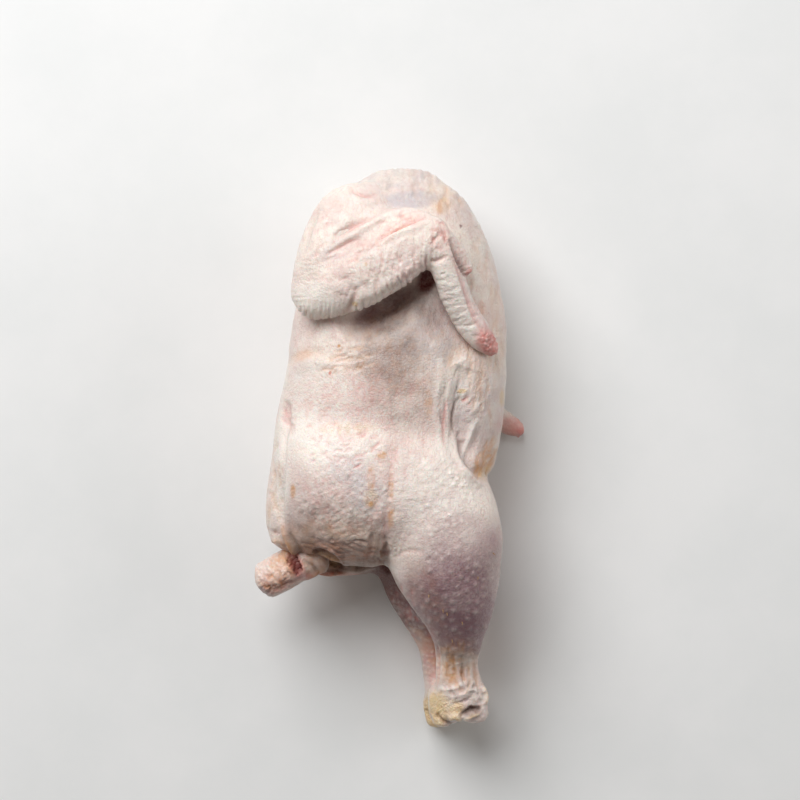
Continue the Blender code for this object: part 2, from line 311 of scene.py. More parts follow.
class Mesher:
    """Turns forms into one even skin."""

    @staticmethod
    def as_object(name: str, shape: bmesh.types.BMesh, home: bpy.types.Collection) -> bpy.types.Object:
        """Makes an object of a mesh in work, and frees that.

        Args:
            name: The object's name.
            shape: The mesh in work.
            home: The collection that gets the object.

        Returns:
            The object.
        """
        mesh = bpy.data.meshes.new(name)
        shape.to_mesh(mesh)
        shape.free()
        made = bpy.data.objects.new(name, mesh)
        home.objects.link(made)
        return made

    @staticmethod
    def apply(item: bpy.types.Object) -> None:
        """Bakes an object's modifiers into its mesh.

        Args:
            item: The object.
        """
        graph = bpy.context.evaluated_depsgraph_get()
        mesh = bpy.data.meshes.new_from_object(item.evaluated_get(graph))
        item.modifiers.clear()
        old = item.data
        item.data = mesh
        bpy.data.meshes.remove(old)

    @classmethod
    def joined(cls, name: str, forms: tuple[Form, ...], cutters: tuple[Form, ...]) -> bpy.types.Object:
        """Joins forms into one closed mesh and cuts hollows from it.

        Args:
            name: The name of the joined object.
            forms: What is joined, the largest first.
            cutters: What is cut away.

        Returns:
            The joined object.
        """
        scene = bpy.context.scene.collection
        helpers = bpy.data.collections.new("helpers")
        scene.children.link(helpers)
        body = forms[0].build(scene)
        body.name = name
        for form in forms[1:]:
            form.build(helpers)
        cls.boolean(body, helpers, "UNION")
        if cutters:
            for cutter in cutters:
                cutter.build(helpers)
            cls.boolean(body, helpers, "DIFFERENCE")
        bpy.data.collections.remove(helpers)
        return body

    @classmethod
    def boolean(cls, body: bpy.types.Object, helpers: bpy.types.Collection, operation: str) -> None:
        """Joins or cuts with every object of a collection, and removes those objects.

        Args:
            body: What is changed.
            helpers: The collection.
            operation: UNION or DIFFERENCE.
        """
        step = body.modifiers.new("step", "BOOLEAN")
        step.operation = operation
        step.operand_type = "COLLECTION"
        step.collection = helpers
        step.solver = "EXACT"
        cls.apply(body)
        for item in list(helpers.objects):
            bpy.data.objects.remove(item)

    @classmethod
    def even(cls, body: bpy.types.Object, voxel: float) -> None:
        """Remeshes an object with squares of one size.

        Args:
            body: The object.
            voxel: The side of a square, in millimetres.
        """
        step = body.modifiers.new("even", "REMESH")
        step.mode = "VOXEL"
        step.voxel_size = voxel * MM
        step.adaptivity = 0.0
        cls.apply(body)

    @staticmethod
    def smoothed(shape: bmesh.types.BMesh, points: list[bmesh.types.BMVert], factor: float = 0.5) -> None:
        """Draws points of a mesh in work towards their neighbours.

        Args:
            shape: The mesh in work.
            points: The points.
            factor: How far they go.
        """
        axes = {"use_axis_x": True, "use_axis_y": True, "use_axis_z": True}
        bmesh.ops.smooth_vert(shape, verts=points, factor=factor, **axes)

    @classmethod
    def refined(cls, shape: bmesh.types.BMesh, chosen: list[bmesh.types.BMFace]) -> None:
        """Halves the faces of a stretch of skin both ways.

        Args:
            shape: The mesh in work.
            chosen: The stretch's faces.
        """
        edges = list({edge for face in chosen for edge in face.edges})
        made = bmesh.ops.subdivide_edges(shape, edges=edges, cuts=1, use_grid_fill=True)
        parts = made["geom_inner"] + made["geom_split"]
        points = {point for part in parts if isinstance(part, bmesh.types.BMEdge) for point in part.verts}
        for _ in range(2):
            cls.smoothed(shape, list(points), 0.4)
        shape.normal_update()


@dataclass(frozen=True)
class Fold:
    """A crease pressed into the skin, or a ridge where its depth is below nought, in picture units."""

    line: tuple[Spot, ...]
    reach: float
    depth: float
    tint: Tint | None = None
    strength: float = 0.6


@dataclass(frozen=True)
class Patch:
    """An oval stretch of skin, in picture units."""

    at: Spot
    size: Spot
    angle: float = 0.0
    rim: ClassVar[float] = 1.35
    softness: ClassVar[float] = 0.7

    def weight(self, seen: np.ndarray) -> np.ndarray:
        """Says how much each place belongs to the patch.

        Args:
            seen: Places in picture units.

        Returns:
            1 in the middle, falling softly to 0 past the edge.
        """
        offset = seen - np.array(self.at)
        turn = math.radians(self.angle)
        side = offset[:, 0] * math.cos(turn) + offset[:, 1] * math.sin(turn)
        rise = -offset[:, 0] * math.sin(turn) + offset[:, 1] * math.cos(turn)
        away = np.hypot(side / self.size[0], rise / self.size[1])
        return eased(np.clip((self.rim - away) / self.softness, 0.0, 1.0))


@dataclass(frozen=True)
class Wrinkles:
    """A patch of short creases that run much the same way."""

    patch: Patch
    angle: float
    length: float
    count: int
    reach: float
    depth: float
    seed: int
    tint: Tint | None = None
    strength: float = 0.4
    spread: float = 14.0

    def folds(self) -> list[Fold]:
        """Draws the creases.

        Returns:
            The creases, the same ones on each run.
        """
        dice = random.Random(self.seed)
        turn = math.radians(self.patch.angle)
        made = []
        for _ in range(self.count):
            radius, round_to = math.sqrt(dice.random()), dice.uniform(0, math.tau)
            side = self.patch.size[0] * radius * math.cos(round_to)
            rise = self.patch.size[1] * radius * math.sin(round_to)
            u = self.patch.at[0] + side * math.cos(turn) - rise * math.sin(turn)
            v = self.patch.at[1] + side * math.sin(turn) + rise * math.cos(turn)
            way = math.radians(self.angle + dice.gauss(0, self.spread))
            half = 0.5 * self.length * dice.uniform(0.5, 1.3)
            bow = dice.uniform(-0.25, 0.25) * half
            run, square = (math.cos(way), math.sin(way)), (-math.sin(way), math.cos(way))
            line = (
                (u - run[0] * half, v - run[1] * half),
                (u + square[0] * bow, v + square[1] * bow),
                (u + run[0] * half, v + run[1] * half),
            )
            size = dice.uniform(0.5, 1.2)
            reach = self.reach * (0.7 + 0.3 * size)
            made.append(Fold(line, reach, self.depth * size, self.tint, self.strength * size))
        return made


@dataclass(frozen=True)
class Ribs:
    """Ridges side by side across a patch, with sharp creases between them."""

    patch: Patch
    angle: float
    spacing: float
    height: float
    seed: int
    wander: float = 0.5
    broken: float = 0.7


@dataclass(frozen=True)
class Follicles:
    """Feather bumps on a loose grid over a patch."""

    patch: Patch
    spacing: float
    radius: float
    height: float
    seed: int
    angle: float = 0.0
    tint: Tint | None = None
    strength: float = 0.5


@dataclass(frozen=True)
class Mark:
    """A tinted spot on the skin as seen from above."""

    patch: Patch
    tint: Tint
    strength: float
    ragged: float = 0.5
    grain: float = 6.0


@dataclass(frozen=True)
class Region:
    """A tinted stretch that goes all round a form, as an ellipsoid on the counter's plan."""

    middle: tuple[float, float, float]
    size: tuple[float, float, float]
    tint: Tint
    strength: float
    ragged: float = 0.3
    grain: float = 9.0


class Hide:
    """The skin of one piece while its relief and its tints are worked in."""

    overhang: float = -0.05
    wall: float = -0.75
    slope_span: float = 0.4
    fold_reach: float = 2.6
    trace: float = 0.01
    bump_draws: tuple[float, ...] = (0.71, 0.73, 0.77)
    mark_seed: int = 31
    region_seed: int = 57

    def __init__(self, mesh: bpy.types.Mesh) -> None:
        """Reads a mesh.

        Args:
            mesh: The mesh, in metres on the counter's plan.
        """
        self.mesh = mesh
        self.points = np.empty(len(mesh.vertices) * 3)
        mesh.vertices.foreach_get("co", self.points)
        self.points = self.points.reshape(-1, 3) / MM
        self.masks = {tint: np.zeros(len(self.points)) for tint in Tint}
        self.normals = np.zeros_like(self.points)
        self.seen = np.zeros((len(self.points), 2))
        self.store()

    def store(self) -> None:
        """Writes the points to the mesh, and reads the normals that they give."""
        self.mesh.vertices.foreach_set("co", (self.points * MM).ravel())
        self.mesh.update()
        found = np.empty(len(self.points) * 3)
        self.mesh.vertices.foreach_get("normal", found)
        self.normals = found.reshape(-1, 3)
        self.seen = Overhead.seen(self.points)

    def facing(self, start: float) -> np.ndarray:
        """Says how far each point looks up.

        Args:
            start: The slope at which it starts, below nought for an overhang.

        Returns:
            A number from 0 to 1 for each point.
        """
        return np.clip((self.normals[:, 2] - start) / self.slope_span, 0.0, 1.0)

    def along(self, line: tuple[Spot, ...], reach: float) -> tuple[np.ndarray, np.ndarray, np.ndarray]:
        """Measures the points near a line.

        Args:
            line: The line's corners, in picture units. It runs smoothly through them.
            reach: How far from the line a point may be.

        Returns:
            Which points are near, how far each is, and its place along the line from 0 to 1.
        """
        smooth = np.array(between(line, LINE_STEPS) if len(line) > 2 else line)
        low, high = smooth.min(axis=0) - reach, smooth.max(axis=0) + reach
        inside = np.all((self.seen > low) & (self.seen < high), axis=1)
        near = np.nonzero(inside & (self.normals[:, 2] > self.overhang))[0]
        spots = self.seen[near]
        away = np.full(len(near), np.inf)
        place = np.zeros(len(near))
        runs = np.linalg.norm(np.diff(smooth, axis=0), axis=1)
        passed, length = 0.0, runs.sum()
        for start, end, run in zip(smooth, smooth[1:], runs):
            share = np.clip(((spots - start) @ (end - start)) / (run * run), 0.0, 1.0)
            gap = np.linalg.norm(spots - start - share[:, None] * (end - start), axis=1)
            closer = gap < away
            away[closer] = gap[closer]
            place[closer] = (passed + share[closer] * run) / length
            passed += run
        return near, away, place

    def fold(self, fold: Fold) -> None:
        """Presses one crease in, or raises one ridge.

        Args:
            fold: The crease.
        """
        near, away, place = self.along(fold.line, fold.reach * self.fold_reach)
        if not len(near):
            return
        profile = np.exp(-((away / fold.reach) ** 2)) * np.sqrt(np.clip(np.sin(math.pi * place), 0.0, 1.0))
        profile *= self.facing(self.overhang)[near]
        self.points[near] -= self.normals[near] * (fold.depth * profile)[:, None]
        if fold.tint is not None:
            self.tint(near, fold.tint, profile * fold.strength)

    def tint(self, chosen: np.ndarray, tint: Tint, amount: np.ndarray) -> None:
        """Adds to a mask.

        Args:
            chosen: Which points.
            tint: Which mask.
            amount: How much, for each of them.
        """
        mask = self.masks[tint]
        mask[chosen] = np.clip(1.0 - (1.0 - mask[chosen]) * (1.0 - np.clip(amount, 0.0, 1.0)), 0.0, 1.0)

    def ribs(self, ribs: Ribs) -> None:
        """Raises the ridges of a patch, down its walls too, so that an edge there is scalloped.

        Args:
            ribs: The ridges.
        """
        weight = ribs.patch.weight(self.seen) * self.facing(self.wall)
        near = np.nonzero(weight > self.trace)[0]
        spots = self.seen[near]
        way = math.radians(ribs.angle)
        run = spots @ np.array((math.cos(way), math.sin(way)))
        across = spots @ np.array((-math.sin(way), math.cos(way)))
        slow = np.column_stack((run * 0.9, across * 0.45))
        run = run + ribs.wander * ribs.spacing * 1.7 * Unevenness.at(slow, ribs.spacing * 2.3, ribs.seed)
        wave = np.abs(np.sin(math.pi * run / ribs.spacing)) ** 0.7 - 0.65
        lumps = Unevenness.at(np.column_stack((run, across * 0.5)), ribs.spacing * 1.3, ribs.seed + 7)
        patchy = np.clip(1.0 - ribs.broken * (0.5 - 0.9 * lumps), 0.05, 1.4)
        self.points[near] += self.normals[near] * (ribs.height * wave * weight[near] * patchy)[:, None]

    def follicles(self, bumps: Follicles) -> None:
        """Raises the feather bumps of a patch.

        Args:
            bumps: The bumps.
        """
        weight = bumps.patch.weight(self.seen) * self.facing(self.overhang)
        near = np.nonzero(weight > self.trace)[0]
        turn = math.radians(bumps.angle)
        spin = np.array(((math.cos(turn), -math.sin(turn)), (math.sin(turn), math.cos(turn))))
        spots = (self.seen[near] @ spin) / bumps.spacing
        row = np.floor(spots[:, 1])
        best = np.zeros(len(near))
        for down, side in product((-1, 0, 1), repeat=2):
            line = row + down
            shift = 0.5 * (line % 2)
            column = np.floor(spots[:, 0] - shift) + side
            cell = np.column_stack((column, line)) + 0.137
            across, along, growth = (
                Unevenness.at(cell, width, bumps.seed + step) for step, width in enumerate(self.bump_draws)
            )
            jitter = 0.22 * np.column_stack((across, along))
            centre = np.column_stack((column + shift + 0.5, line + 0.5)) + jitter * 1.5
            size = 0.75 + 0.35 * growth
            gap = np.linalg.norm(spots - centre, axis=1) * bumps.spacing / (bumps.radius * size)
            best = np.maximum(best, np.exp(-gap * gap) * size)
        self.points[near] += self.normals[near] * (bumps.height * best * weight[near])[:, None]
        if bumps.tint is not None:
            self.tint(near, bumps.tint, best * weight[near] * bumps.strength)

    def swell(self, size: float, height: float, seed: int) -> None:
        """Makes the whole skin uneven.

        Args:
            size: How far apart the swells are, in millimetres.
            height: How high they are, in millimetres.
            seed: Which unevenness.
        """
        self.points += self.normals * (height * Unevenness.at(self.points, size, seed))[:, None]

    def mark(self, mark: Mark) -> None:
        """Tints one spot.

        Args:
            mark: The spot.
        """
        weight = mark.patch.weight(self.seen) * self.facing(self.overhang)
        near = np.nonzero(weight > self.trace)[0]
        peaks = np.clip((Unevenness.at(self.seen[near], mark.grain, self.mark_seed) + 0.1) / 0.5, 0.0, 1.0)
        rough = 1.0 - mark.ragged * (1.0 - peaks)
        self.tint(near, mark.tint, mark.strength * weight[near] * rough)

    def region(self, region: Region) -> None:
        """Tints a stretch all round.

        Args:
            region: The stretch.
        """
        away = np.linalg.norm((self.points - np.array(region.middle)) / np.array(region.size), axis=1)
        away += region.ragged * Unevenness.at(self.points, region.grain, self.region_seed)
        weight = eased(np.clip((1.25 - away) / 0.5, 0.0, 1.0))
        self.tint(np.arange(len(weight)), region.tint, region.strength * weight)

    def finish(self) -> None:
        """Moves the piece to the part's own place, keeps it in the solid's box and writes its masks."""
        low, high = (np.array(corner) for corner in SOLID_BOX)
        self.points = np.clip(self.points - np.array(CENTRE), low / MM, high / MM)
        self.store()
        for tint, mask in self.masks.items():
            made = self.mesh.attributes.new(tint.value, "FLOAT", "POINT")
            made.data.foreach_set("value", mask.astype(np.float32))
        self.mesh.shade_smooth()

    def box(self) -> tuple[list[float], list[float]]:
        """Gives the lowest and the highest corner of the piece's box, in millimetres."""
        return self.points.min(axis=0).round(1).tolist(), self.points.max(axis=0).round(1).tolist()


class Wire:
    """A node's output that takes part in sums as a number would."""

    def __init__(self, paint: "Paint", socket: bpy.types.NodeSocket) -> None:
        """Holds an output.

        Args:
            paint: The material that it is in.
            socket: The output.
        """
        self.paint = paint
        self.socket = socket

    def math(self, operation: str, *values: "Wire | float") -> "Wire":
        """Adds a Math node.

        Args:
            operation: The node's operation.
            values: What goes into it, in order.

        Returns:
            Its output.
        """
        return self.paint.node("ShaderNodeMath", {"operation": operation}, dict(enumerate(values)))

    def __add__(self, other: "Wire | float") -> "Wire":
        """Gives self + other."""
        return self.math("ADD", self, other)

    __radd__ = __add__

    def __sub__(self, other: "Wire | float") -> "Wire":
        """Gives self - other."""
        return self.math("SUBTRACT", self, other)

    def __rsub__(self, other: "Wire | float") -> "Wire":
        """Gives other - self."""
        return self.math("SUBTRACT", other, self)

    def __mul__(self, other: "Wire | float") -> "Wire":
        """Gives self * other."""
        return self.math("MULTIPLY", self, other)

    __rmul__ = __mul__

    def held(self) -> "Wire":
        """Gives self held between 0 and 1."""
        return self.math("MAXIMUM", self.math("MINIMUM", self, 1.0), 0.0)

    def ramp(self, low: float, high: float) -> "Wire":
        """Gives 0 below low and 1 above high, with a soft step between."""
        inputs = {"Value": self, "From Min": low, "From Max": high}
        return self.paint.node("ShaderNodeMapRange", {"interpolation_type": "SMOOTHSTEP"}, inputs)


Colour = tuple[float, float, float]


def srgb(red: int, green: int, blue: int) -> Colour:
    """Turns a colour as seen on a screen into the light that it stands for.

    Args:
        red: Its red, from 0 to 255.
        green: Its green.
        blue: Its blue.

    Returns:
        The three shares of light, from 0 to 1.
    """
    return tuple(
        value / 255 / 12.92 if value / 255 <= 0.04045 else ((value / 255 + 0.055) / 1.055) ** 2.4
        for value in (red, green, blue)
    )


class Paint:
    """Grows the nodes of one material."""

    def __init__(self, name: str) -> None:
        """Starts a material.

        Args:
            name: The material's name.
        """
        self.material = bpy.data.materials.new(name)
        self.material.use_nodes = True
        self.nodes = self.material.node_tree.nodes
        self.surface = self.nodes["Principled BSDF"]
        self.place = self.node("ShaderNodeTexCoord", {}, {}, "Object")

    def feed(self, socket: bpy.types.NodeSocket, value: object) -> None:
        """Sets a socket, or links it to an output.

        Args:
            socket: The socket.
            value: A number, a colour, a vector or an output.
        """
        if isinstance(value, Wire):
            self.material.node_tree.links.new(value.socket, socket)
        elif isinstance(value, tuple) and len(value) == 3 and socket.type == "RGBA":
            socket.default_value = (*value, 1.0)
        else:
            socket.default_value = value

    def node(self, kind: str, settings: dict, inputs: dict, output: str | int = 0) -> Wire:
        """Adds a node.

        Args:
            kind: The node's type.
            settings: Its own settings, which are set first.
            inputs: Values or outputs, by the name or the number of its sockets.
            output: Which output is wanted.

        Returns:
            That output.
        """
        made = self.nodes.new(kind)
        for name, value in settings.items():
            setattr(made, name, value)
        for name, value in inputs.items():
            self.feed(made.inputs[name], value)
        return Wire(self, made.outputs[output])

    def noise(
        self, size: float, detail: float = 3.0, roughness: float = 0.5, stretch: Colour = (1, 1, 1)
    ) -> Wire:
        """Adds even noise.

        Args:
            size: How far apart its swells are, in millimetres.
            detail: How many finer layers it has.
            roughness: How strong those are.
            stretch: How much denser it is along each axis.

        Returns:
            A number about 0.5.
        """
        place = self.node("ShaderNodeMapping", {}, {"Vector": self.place, "Scale": stretch})
        inputs = {"Vector": place, "Scale": 1.0 / MM / size, "Detail": detail, "Roughness": roughness}
        return self.node("ShaderNodeTexNoise", {}, inputs, "Fac")

    def cells(self, size: float, feature: str = "F1", jitter: float = 1.0) -> Wire:
        """Adds cells.

        Args:
            size: How wide a cell is, in millimetres.
            feature: Which distance is given.
            jitter: How uneven the cells are.

        Returns:
            The distance, in cells.
        """
        inputs = {"Vector": self.place, "Scale": 1.0 / MM / size, "Randomness": jitter}
        return self.node("ShaderNodeTexVoronoi", {"feature": feature}, inputs, "Distance")

    def mask(self, tint: Tint) -> Wire:
        """Reads one of the skin's masks."""
        return self.node("ShaderNodeAttribute", {"attribute_name": tint.value}, {}, "Fac")

    def mix(self, share: Wire | float, first: Wire | Colour, second: Wire | Colour) -> Wire:
        """Mixes two colours.

        Args:
            share: How much of the second.
            first: The first colour.
            second: The second colour.

        Returns:
            The mixed colour.
        """
        return self.node("ShaderNodeMix", {"data_type": "RGBA"}, {0: share, 6: first, 7: second}, 2)

    def bump(self, height: Wire, distance: float, strength: float) -> Wire:
        """Turns heights into a normal.

        Args:
            height: The heights, from 0 to 1.
            distance: What 1 stands for, in millimetres.
            strength: How strongly it shows.

        Returns:
            The normal.
        """
        inputs = {"Height": height, "Distance": distance * MM, "Strength": strength}
        return self.node("ShaderNodeBump", {}, inputs, "Normal")

    def dress(self, **sockets: object) -> bpy.types.Material:
        """Sets the surface's own sockets, by name with _ for a space.

        Returns:
            The material.
        """
        for name, value in sockets.items():
            self.feed(self.surface.inputs[name.replace("_", " ")], value)
        return self.material


@dataclass(frozen=True)
class RawSkin:
    """Moist raw skin: pale, faintly mottled, crinkled, with pores, and tinted where its masks say, some of
    which paint shade and highlights.
    """

    cream: Colour = srgb(244, 231, 220)
    rose: Colour = srgb(230, 210, 202)
    # Whiter skin, and painted highlight
    fat_and_highlight: Colour = srgb(250, 241, 232)
    # Brown painted shade
    painted_shade: Colour = srgb(102, 68, 54)
    blush: Colour = srgb(220, 128, 120)
    stain: Colour = srgb(214, 154, 98)
    # Purple bruising, and in places painted shade
    bruise_and_shade: Colour = srgb(134, 92, 104)
    horn: Colour = srgb(244, 212, 158)
    # Red meat, and dark red painted shadow
    flesh_and_shadow: Colour = srgb(104, 30, 24)
    # Greyish translucent skin, and in one place painted shade
    glassy_and_shade: Colour = srgb(192, 186, 192)
    vein: Colour = srgb(206, 156, 148)
    blush_size: float = 34.0
    blotch_size: float = 14.0
    goose_size: float = 7.5
    mottle_size: float = 5.0
    crinkle_size: float = 2.6
    fleck_size: float = 2.4
    pore_size: float = 2.1
    scale_size: float = 1.7
    grain_size: float = 1.5
    roughness: float = 0.37
    moisture: float = 0.34
    moist_gloss: float = 0.22
    glow: float = 0.18
    glow_depth: float = 0.003
    glow_radius: Colour = (1.0, 0.4, 0.25)
    refraction: float = 1.42
    relief: float = 0.8
    relief_strength: float = 0.75

    def material(self, name: str) -> bpy.types.Material:
        """Makes the material.

        Args:
            name: Its name.

        Returns:
            The material.
        """
        paint = Paint(name)
        broad = paint.noise(self.blush_size, 2.0)
        mottle = paint.noise(self.mottle_size, 4.0, 0.6)
        fine = paint.noise(self.grain_size, 4.0, 0.65)
        wave = paint.noise(self.crinkle_size, 2.0, 0.5, (1.0, 0.4, 1.0)) - 0.5
        crinkle = wave.math("ABSOLUTE", wave).ramp(0.0, 0.05)
        colour = paint.mix(broad.ramp(0.35, 0.65), self.cream, self.rose)
        colour = paint.mix(mottle.ramp(0.45, 0.75) * 0.4, colour, self.fat_and_highlight)
        flecks = paint.noise(self.fleck_size, 4.0, 0.75, (1.0, 0.6, 1.0)).ramp(0.58, 0.70)
        blotches = paint.noise(self.blotch_size, 3.0, 0.6).ramp(0.52, 0.72)
        goose = paint.cells(self.goose_size, "F1", 0.55)
        ring = goose.ramp(0.12, 0.2) * (1.0 - goose.ramp(0.2, 0.34))
        veined = flecks * 0.34 + (1.0 - crinkle) * 0.18 + blotches * 0.18 + ring * 0.12
        colour = paint.mix(veined.held(), colour, self.vein)
        # Some of these masks paint shade into hollows, creases and sides that the light misses, and the
        # whitest paints highlights too
        masks = (
            (Tint.FAT_AND_HIGHLIGHT, self.fat_and_highlight, 0.85),
            (Tint.GLASSY_AND_SHADE, self.glassy_and_shade, 0.8),
            (Tint.PAINTED_SHADE, self.painted_shade, 0.9),
            (Tint.BRUISE_AND_SHADE, self.bruise_and_shade, 0.85),
            (Tint.BLUSH, self.blush, 0.85),
            (Tint.STAIN, self.stain, 0.85),
            (Tint.HORN, self.horn, 0.9),
            (Tint.FLESH_AND_SHADOW, self.flesh_and_shadow, 1.0),
        )
        for tint, shade, most in masks:
            share = (paint.mask(tint) * (fine * 0.7 + mottle * 0.7 + 0.3)).held() * most
            colour = paint.mix(share, colour, shade)
        colour = paint.mix(paint.mask(Tint.DOTS) * 0.9, colour, self.fat_and_highlight)
        pore = 1.0 - paint.cells(self.pore_size, "F1", 0.9).ramp(0.05, 0.4)
        bump = (1.0 - goose.ramp(0.0, 0.26)) * 0.35
        grain = fine + mottle * 0.55 - pore * 0.14 + crinkle * 0.16 + bump
        scales = paint.cells(self.scale_size, "DISTANCE_TO_EDGE").ramp(0.0, 0.2)
        height = grain + scales * paint.mask(Tint.HORN) * 0.9
        roughness = (self.roughness + (fine - 0.5) * 0.35 + paint.mask(Tint.HORN) * 0.12).held()
        return paint.dress(
            Base_Color=colour,
            Roughness=roughness,
            Normal=paint.bump(height, self.relief, self.relief_strength),
            Coat_Weight=mottle.ramp(0.3, 0.7) * self.moisture,
            Coat_Roughness=self.moist_gloss,
            Subsurface_Weight=self.glow,
            Subsurface_Radius=self.glow_radius,
            Subsurface_Scale=self.glow_depth,
            IOR=self.refraction,
        )


@dataclass
class SkinPiece:
    """A stretch of the bird's skin: its forms, how finely it is made, and what is worked into it."""

    name: str
    forms: tuple[Form, ...]
    voxel: float
    relaxing: int
    cutters: tuple[Form, ...] = ()
    close: tuple[Patch, ...] = ()
    folds: tuple[Fold, ...] = ()
    wrinkles: tuple[Wrinkles, ...] = ()
    ribs: tuple[Ribs, ...] = ()
    follicles: tuple[Follicles, ...] = ()
    marks: tuple[Mark, ...] = ()
    regions: tuple[Region, ...] = ()
    swells: tuple[tuple[float, float], ...] = ((22.0, 0.7), (8.0, 0.28))
    thin_rounds: int = 0
    shown_slope: float = -1.1
    close_slope: float = -0.2
    close_share: float = 0.1
    swell_seed: int = 3

    def gives(self, place: Vector, step: int) -> bool:
        """Says whether a point is smoothed in a round.

        Args:
            place: The point, in millimetres.
            step: The round.

        Returns:
            True where it is.
        """
        return step < self.thin_rounds or not self.is_thin(place)

    def is_thin(self, place: Vector) -> bool:
        """Says whether a point is in a form that more smoothing would wear away."""
        return False

    def is_shown(self, face: bmesh.types.BMFace) -> bool:
        """Says whether a face is made finer at all, which a slope limit below -1 makes true of each."""
        return face.normal.z > self.shown_slope

    def is_close(self, face: bmesh.types.BMFace) -> bool:
        """Says whether a face lies where the skin has its finest relief.

        Args:
            face: The face.

        Returns:
            True where it does.
        """
        if face.normal.z < self.close_slope or not self.close:
            return False
        seen = Overhead.seen(np.array(face.calc_center_median() / MM)[None])
        return any(patch.weight(seen)[0] > self.close_share for patch in self.close)

    def worked(self, body: bpy.types.Object) -> None:
        """Smooths the skin where forms meet, and refines it where it shows.

        Args:
            body: The piece in work.
        """
        shape = bmesh.new()
        shape.from_mesh(body.data)
        for step in range(self.relaxing):
            Mesher.smoothed(shape, [point for point in shape.verts if self.gives(point.co / MM, step)])
        shape.normal_update()
        Mesher.refined(shape, [face for face in shape.faces if self.is_shown(face)])
        close = [face for face in shape.faces if self.is_close(face)]
        if close:
            Mesher.refined(shape, close)
        shape.to_mesh(body.data)
        shape.free()

    def build(self, material: bpy.types.Material) -> bpy.types.Object:
        """Makes the piece.

        Args:
            material: What it is dressed in.

        Returns:
            The finished object.
        """
        body = Mesher.joined(self.name, self.forms, self.cutters)
        Mesher.even(body, self.voxel)
        self.worked(body)
        hide = Hide(body.data)
        for index, (size, height) in enumerate(self.swells):
            hide.swell(size, height, self.swell_seed + index)
        for fold in self.folds:
            hide.fold(fold)
        hide.store()
        for ribs in self.ribs:
            hide.ribs(ribs)
        hide.store()
        for wrinkles in self.wrinkles:
            for fold in wrinkles.folds():
                hide.fold(fold)
        hide.store()
        for bumps in self.follicles:
            hide.follicles(bumps)
        for mark in self.marks:
            hide.mark(mark)
        for region in self.regions:
            hide.region(region)
        hide.finish()
        body.data.materials.clear()
        body.data.materials.append(material)
        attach(body, "root")
        triangles = sum(len(face.vertices) - 2 for face in body.data.polygons)
        low, high = hide.box()
        log.info("%s: %d triangles, from %s to %s mm", self.name, triangles, low, high)
        return body


NEAR_UPPER_ARM = (
    (-12.0, 111.0, 84.0, 19.0, 19.0),
    (-28.5, 107.0, 90.0, 21.5, 19.0),
    (-39.0, 92.0, 95.0, 20.0, 18.5),
    (-46.0, 76.0, 96.0, 17.5, 17.0),
    (-51.0, 62.0, 96.0, 14.5, 14.5),
)


